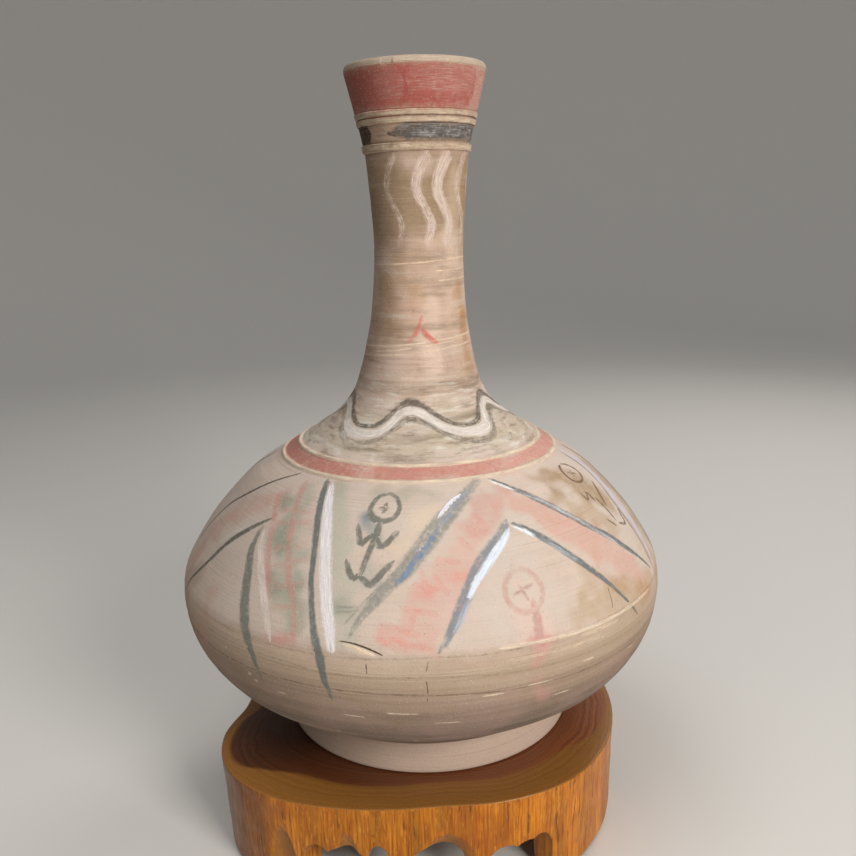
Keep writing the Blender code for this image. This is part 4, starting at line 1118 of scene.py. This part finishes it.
colour = coat(tree, "#b69a88", "#cbb3a3", (cloudy, 0.36, 0.64, 0.0, 1.0))
colour = coat(tree, colour, "#ac8c6e", (mottled, 0.53, 0.70, 0.0, 0.45))
colour = coat(tree, colour, None, (wheel_lines, 0.35, 0.65, 0.91, 1.08))
# The neck's upper part is browner
colour = coat(tree, colour, "#8f7858", (ragged, 262.0, 300.0, 0.0, 1.0),
              (cloudy, 0.40, 0.60, 0.25, 0.65))
# Below the painting each turn of the wheel left a flat, with a soft step, and each flat
# is darker than the one above, so the belly darkens towards the foot: height as a share of 100 mm, tone,
# strength
FLATS = (
    (0.172, "#8f7d6e", 0.00), (0.178, "#6f5f52", 0.88), (0.48, "#716255", 0.88),
    (0.56, "#746456", 0.86), (0.57, "#7e6c5b", 0.84), (0.655, "#82705e", 0.84),
    (0.665, "#8d7a66", 0.82), (0.755, "#907d68", 0.80), (0.765, "#a38f79", 0.78),
    (0.845, "#ac9881", 0.76), (0.855, "#b5a38c", 0.70), (0.945, "#b9a791", 0.62),
    (0.96, "#c5b5a2", 0.0),
)
tremble = add(tree, "ShaderNodeMath", {0: mottled, 1: 3.0, 2: up_mm}, operation="MULTIPLY_ADD")
share_up = add(tree, "ShaderNodeMath", {0: tremble, 1: 0.01, 2: -0.015}, operation="MULTIPLY_ADD")
flats = add(tree, "ShaderNodeValToRGB", {"Fac": share_up})
for share, tone, full in FLATS:
    flats.color_ramp.elements.new(share).color = linear(tone)[:3] + [full]
for stop in (flats.color_ramp.elements[0], flats.color_ramp.elements[-1]):
    stop.color = linear("#c5b5a2")[:3] + [0.0]
colour = coat(tree, colour, flats.outputs["Color"], (flats.outputs["Alpha"], *AS_IS),
              (wheel_bands, 0.36, 0.62, 1.12, 0.80))
# Pinker stains low on the belly, and a foot that was wiped clean
colour = coat(tree, colour, "#a3867c", (ragged, 84.0, 76.0, 0.0, 1.0),
              (cloudy, 0.48, 0.62, 0.0, 0.35))
colour = coat(tree, colour, "#c3ad9c", (up_mm, 16.6, 15.4, 0.0, 0.85))
# A thin pale slip was brushed over the zone to be painted
slip = 1.0
for pattern, low, high, at_low, at_high in (
        (ragged, 99.0, 105.0, 0.0, 1.0), (ragged, 206.0, 188.0, 0.0, 1.0),
        (cloudy, 0.36, 0.60, 0.76, 0.42)):
    share = add(tree, "ShaderNodeMapRange", {
        "Value": pattern, "From Min": low, "From Max": high, "To Min": at_low, "To Max": at_high})
    slip = add(tree, "ShaderNodeMath", {0: slip, 1: share}, operation="MULTIPLY")
colour = coat(tree, colour, "#d3c7ba", (slip, *AS_IS))
# Fine scratches that the wheel left, mostly outside the slip
least = add(tree, "ShaderNodeMapRange", {
    "Value": up_mm, "From Min": 60.0, "From Max": 110.0, "To Min": 0.45})
bare = add(tree, "ShaderNodeMath", {0: slip, 1: -0.82, 2: least}, operation="MULTIPLY_ADD",
           use_clamp=True).outputs[0]
for low, high, tone, most in ((0.60, 0.70, "#dccbb4", 0.40), (0.39, 0.30, "#83694f", 0.34)):
    colour = coat(tree, colour, tone, (scratches, low, high, 0.0, most), (bare, *AS_IS))

# The washes
tint = add(tree, "ShaderNodeAttribute", attribute_name="wash_tint").outputs
colour = coat(tree, colour, tint["Color"], (tint["Alpha"], *AS_IS), (mottled, 0.34, 0.66, 1.18, 0.62))
# Smudges, dark and pale, where a dry hand or brush went over the neck and shoulder
up_the_neck = ((ragged, 164.0, 172.0, 0.0, 1.0), (up_mm, 330.0, 190.0, 0.30, 0.95))
on_shoulder = ((ragged, 166.0, 172.0, 0.0, 1.0), (ragged, 214.0, 196.0, 0.0, 1.0))
for pattern, zone, low, high, tone, most in (
        (smudges, up_the_neck, 0.54, 0.68, "#7b6c57", 0.62),
        (smudges, up_the_neck, 0.45, 0.32, "#d5cfbf", 0.60),
        (dry_streaks, on_shoulder, 0.55, 0.68, "#756957", 0.60),
        (dry_streaks, on_shoulder, 0.45, 0.34, "#dcd8cc", 0.65)):
    colour = coat(tree, colour, tone, (pattern, low, high, 0.0, most), *zone)

# The lines of the brush, each paint over the last: how uneven and how soft a
# line's edge is, mm, and how much the line breaks up as the brush dries
LINE_EDGES = (("red", 0.8, 0.40, 0.50), ("dark", 0.4, 0.18, 0.74), ("white", 0.5, 0.26, 0.74),
              ("light", 0.5, 0.20, 0.80))
painted = 0.0
for paint, uneven, softness, breaks in LINE_EDGES:
    mark = add(tree, "ShaderNodeAttribute", attribute_name=paint + "_mark").outputs["Vector"]
    mark = add(tree, "ShaderNodeSeparateXYZ", {0: mark}).outputs
    tint = add(tree, "ShaderNodeAttribute", attribute_name=paint + "_tint").outputs
    # Hairs of the brush leave streaks along the line, 0.5 mm apart
    hairs = add(tree, "ShaderNodeCombineXYZ", {"X": mark["X"], "Y": mark["Y"]})
    hairs = add(tree, "ShaderNodeVectorMath", {0: hairs, 1: (1.9, 0.10, 1.0)}, operation="MULTIPLY")
    hairs = add(tree, "ShaderNodeTexNoise", {
        "Vector": hairs, "Scale": 1.0, "Detail": 3.0, "Roughness": 0.65}).outputs[0]
    away = add(tree, "ShaderNodeMath", {0: mark["X"]}, operation="ABSOLUTE")
    inside = add(tree, "ShaderNodeMath", {0: mark["Z"], 1: away}, operation="SUBTRACT")
    # A broad line has a more uneven and a softer edge
    half = add(tree, "ShaderNodeMath", {0: mark["Z"], 1: 0.0}, operation="MAXIMUM")
    swing = add(tree, "ShaderNodeMath", {0: half, 1: 0.9, 2: uneven}, operation="MULTIPLY_ADD")
    edge = add(tree, "ShaderNodeMix", {0: 0.45, 2: wobble, 3: hairs}).outputs[0]
    edge = add(tree, "ShaderNodeMath", {0: edge, 1: 0.5}, operation="SUBTRACT")
    inside = add(tree, "ShaderNodeMath", {0: edge, 1: swing, 2: inside}, operation="MULTIPLY_ADD")
    soft = add(tree, "ShaderNodeMath", {0: half, 1: 0.30, 2: softness}, operation="MULTIPLY_ADD")
    inside = add(tree, "ShaderNodeMath", {0: inside, 1: soft}, operation="DIVIDE")
    cover = add(tree, "ShaderNodeMapRange", {"Value": inside, "From Min": -1.0, "From Max": 1.0},
                interpolation_type="SMOOTHSTEP")
    # A dry brush skips over the low places
    rubbed = add(tree, "ShaderNodeMix", {0: 0.28, 2: hairs, 3: mottled})
    rubbed = add(tree, "ShaderNodeMix", {0: 0.30, 2: rubbed, 3: wobble})
    dry = add(tree, "ShaderNodeMath", {0: tint["Alpha"], 1: -0.42, 2: 0.71}, operation="MULTIPLY_ADD")
    least = add(tree, "ShaderNodeMath", {0: dry, 1: 0.10}, operation="SUBTRACT")
    most = add(tree, "ShaderNodeMath", {0: dry, 1: 0.10}, operation="ADD")
    worn = add(tree, "ShaderNodeMapRange", {"Value": rubbed, "From Min": least, "From Max": most},
               interpolation_type="SMOOTHSTEP")
    amount = add(tree, "ShaderNodeMix", {0: breaks, 2: tint["Alpha"], 3: worn})
    amount = add(tree, "ShaderNodeMath", {0: cover, 1: amount}, operation="MULTIPLY").outputs[0]
    shade = coat(tree, tint["Color"], None, (hairs, 0.3, 0.7, 0.76, 1.24))
    colour = coat(tree, colour, shade, (amount, *AS_IS))
    painted = add(tree, "ShaderNodeMath", {0: amount, 1: painted}, operation="MAXIMUM")

# The side that faces left is painted darker, most of all up the neck: painted shade on the side away from
# the key lamp
facing = add(tree, "ShaderNodeNewGeometry").outputs["Normal"]
to_right = add(tree, "ShaderNodeSeparateXYZ", {0: facing}).outputs["X"]
colour = coat(tree, colour, "#3f2f22", (to_right, -0.20, -0.95, 0.0, 0.62),
              (up_mm, 150.0, 230.0, 0.55, 1.0))
# Pale and dark specks of grit over everything
colour = coat(tree, colour, "#dccbb4", (grit, 0.63, 0.75, 0.0, 0.38))
colour = coat(tree, colour, "#5d4a3c", (grit, 0.34, 0.26, 0.0, 0.35))
relief = grit
for pattern, height in ((wheel_lines, 1.3), (scratches, 0.35), (painted, 0.2)):
    relief = add(tree, "ShaderNodeMath", {0: pattern, 1: height, 2: relief}, operation="MULTIPLY_ADD")
rough_skin = add(tree, "ShaderNodeBump", {"Height": relief, "Distance": 0.3 * MM, "Strength": 0.85})
tree.links.new(colour, shader.inputs["Base Color"])
tree.links.new(rough_skin.outputs[0], shader.inputs["Normal"])
shader.inputs["Roughness"].default_value = 0.88
shader.inputs["Specular IOR Level"].default_value = 0.25
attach(pot, "root")
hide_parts("bottle")

# The studio
# A pale floor that sweeps up all round into a wall, so that no view has a
# horizon, lit by large soft lamps. The strongest stands at the right.
FLOOR_REACH = 1.6
SWEEP = 1.2
WALL_HEIGHT = 2.6
SWEEP_STEPS = 12
sweep = [(0.0, 0.0), (0.4, 0.0), (FLOOR_REACH, 0.0)]
for step in range(1, SWEEP_STEPS + 1):
    turn = radians(90.0 * step / SWEEP_STEPS)
    sweep.append((FLOOR_REACH + SWEEP * sin(turn), SWEEP * (1 - cos(turn))))
sweep.append((FLOOR_REACH + SWEEP, WALL_HEIGHT))
SIDES = 96
floor_points = [(0.0, 0.0, 0.0)]
for reach, z in sweep[1:]:
    for k in range(SIDES):
        floor_points.append((reach * cos(tau * k / SIDES), reach * sin(tau * k / SIDES), z))
floor_faces = [(0, 1 + k, 1 + (k + 1) % SIDES) for k in range(SIDES)]
for row in range(len(sweep) - 2):
    start = 1 + row * SIDES
    for k in range(SIDES):
        after = (k + 1) % SIDES
        floor_faces.append((start + k, start + SIDES + k, start + SIDES + after, start + after))
floor_mesh = bpy.data.meshes.new("studio_floor")
floor_mesh.from_pydata(floor_points, [], floor_faces)
floor_mesh.shade_smooth()
paper, tree, shader = new_material("pale_paper")
shader.inputs["Base Color"].default_value = linear("#d8d5cf")
shader.inputs["Roughness"].default_value = 0.9
floor_mesh.materials.append(paper)
floor = bpy.data.objects.new("studio_floor", floor_mesh)
bpy.context.scene.collection.objects.link(floor)

world = bpy.data.worlds.new("studio_air")
bpy.context.scene.world = world
world.use_nodes = True
air = world.node_tree.nodes["Background"].inputs
air["Color"].default_value = linear("#e2e8f2")
air["Strength"].default_value = 0.27
AIM = Vector((0.0, 0.0, 0.20))
# Lamps: place, width, watts, colour
LAMPS = (
    ("key", (0.74, -1.10, 0.80), 0.5, 15.6, "#fffaf6"),
    ("fill", (-1.1, -1.0, 0.7), 1.2, 1.3, "#fff8f0"),
    ("top", (-0.30, -0.35, 1.35), 0.7, 5.0, "#ffffff"),
    ("back", (0.7, 0.9, 1.0), 0.5, 5.0, "#fffaf5"),
)
for name, spot, width, watts, tone in LAMPS:
    lamp = bpy.data.lights.new(name, "AREA")
    lamp.size = width
    lamp.energy = watts
    lamp.color = linear(tone)[:3]
    holder = bpy.data.objects.new(name, lamp)
    holder.location = spot
    holder.rotation_euler = (AIM - Vector(spot)).to_track_quat("-Z", "Y").to_euler()
    bpy.context.scene.collection.objects.link(holder)

# The photograph is 856 pixels wide. It was taken from the front, 0.5 m away,
# looking down, with the phone turned a little.
FOCAL_PIXELS = 900.0
IMAGE_WIDTH = 856
CAMERA_PITCH = radians(13.584)
CAMERA_ROLL = radians(-1.426)
CAMERA_PLACE = Vector((0.00599, -0.49781, bottle_base + 0.28667))
lens = bpy.data.cameras.new("camera")
lens.sensor_fit = "HORIZONTAL"
lens.sensor_width = 36.0
lens.lens = lens.sensor_width * FOCAL_PIXELS / IMAGE_WIDTH
lens.clip_start = 0.01
forward = Vector((0.0, cos(CAMERA_PITCH), -sin(CAMERA_PITCH)))
level = Vector((1.0, 0.0, 0.0))
upward = Vector((0.0, sin(CAMERA_PITCH), cos(CAMERA_PITCH)))
right = level * cos(CAMERA_ROLL) + upward * sin(CAMERA_ROLL)
above = -level * sin(CAMERA_ROLL) + upward * cos(CAMERA_ROLL)
camera = bpy.data.objects.new("camera", lens)
turned = Matrix((right, above, -forward)).transposed().to_4x4()
camera.matrix_world = Matrix.Translation(CAMERA_PLACE) @ turned
bpy.context.scene.collection.objects.link(camera)
bpy.context.scene.camera = camera
bpy.context.scene.view_settings.view_transform = "Standard"

bpy.context.view_layer.update()
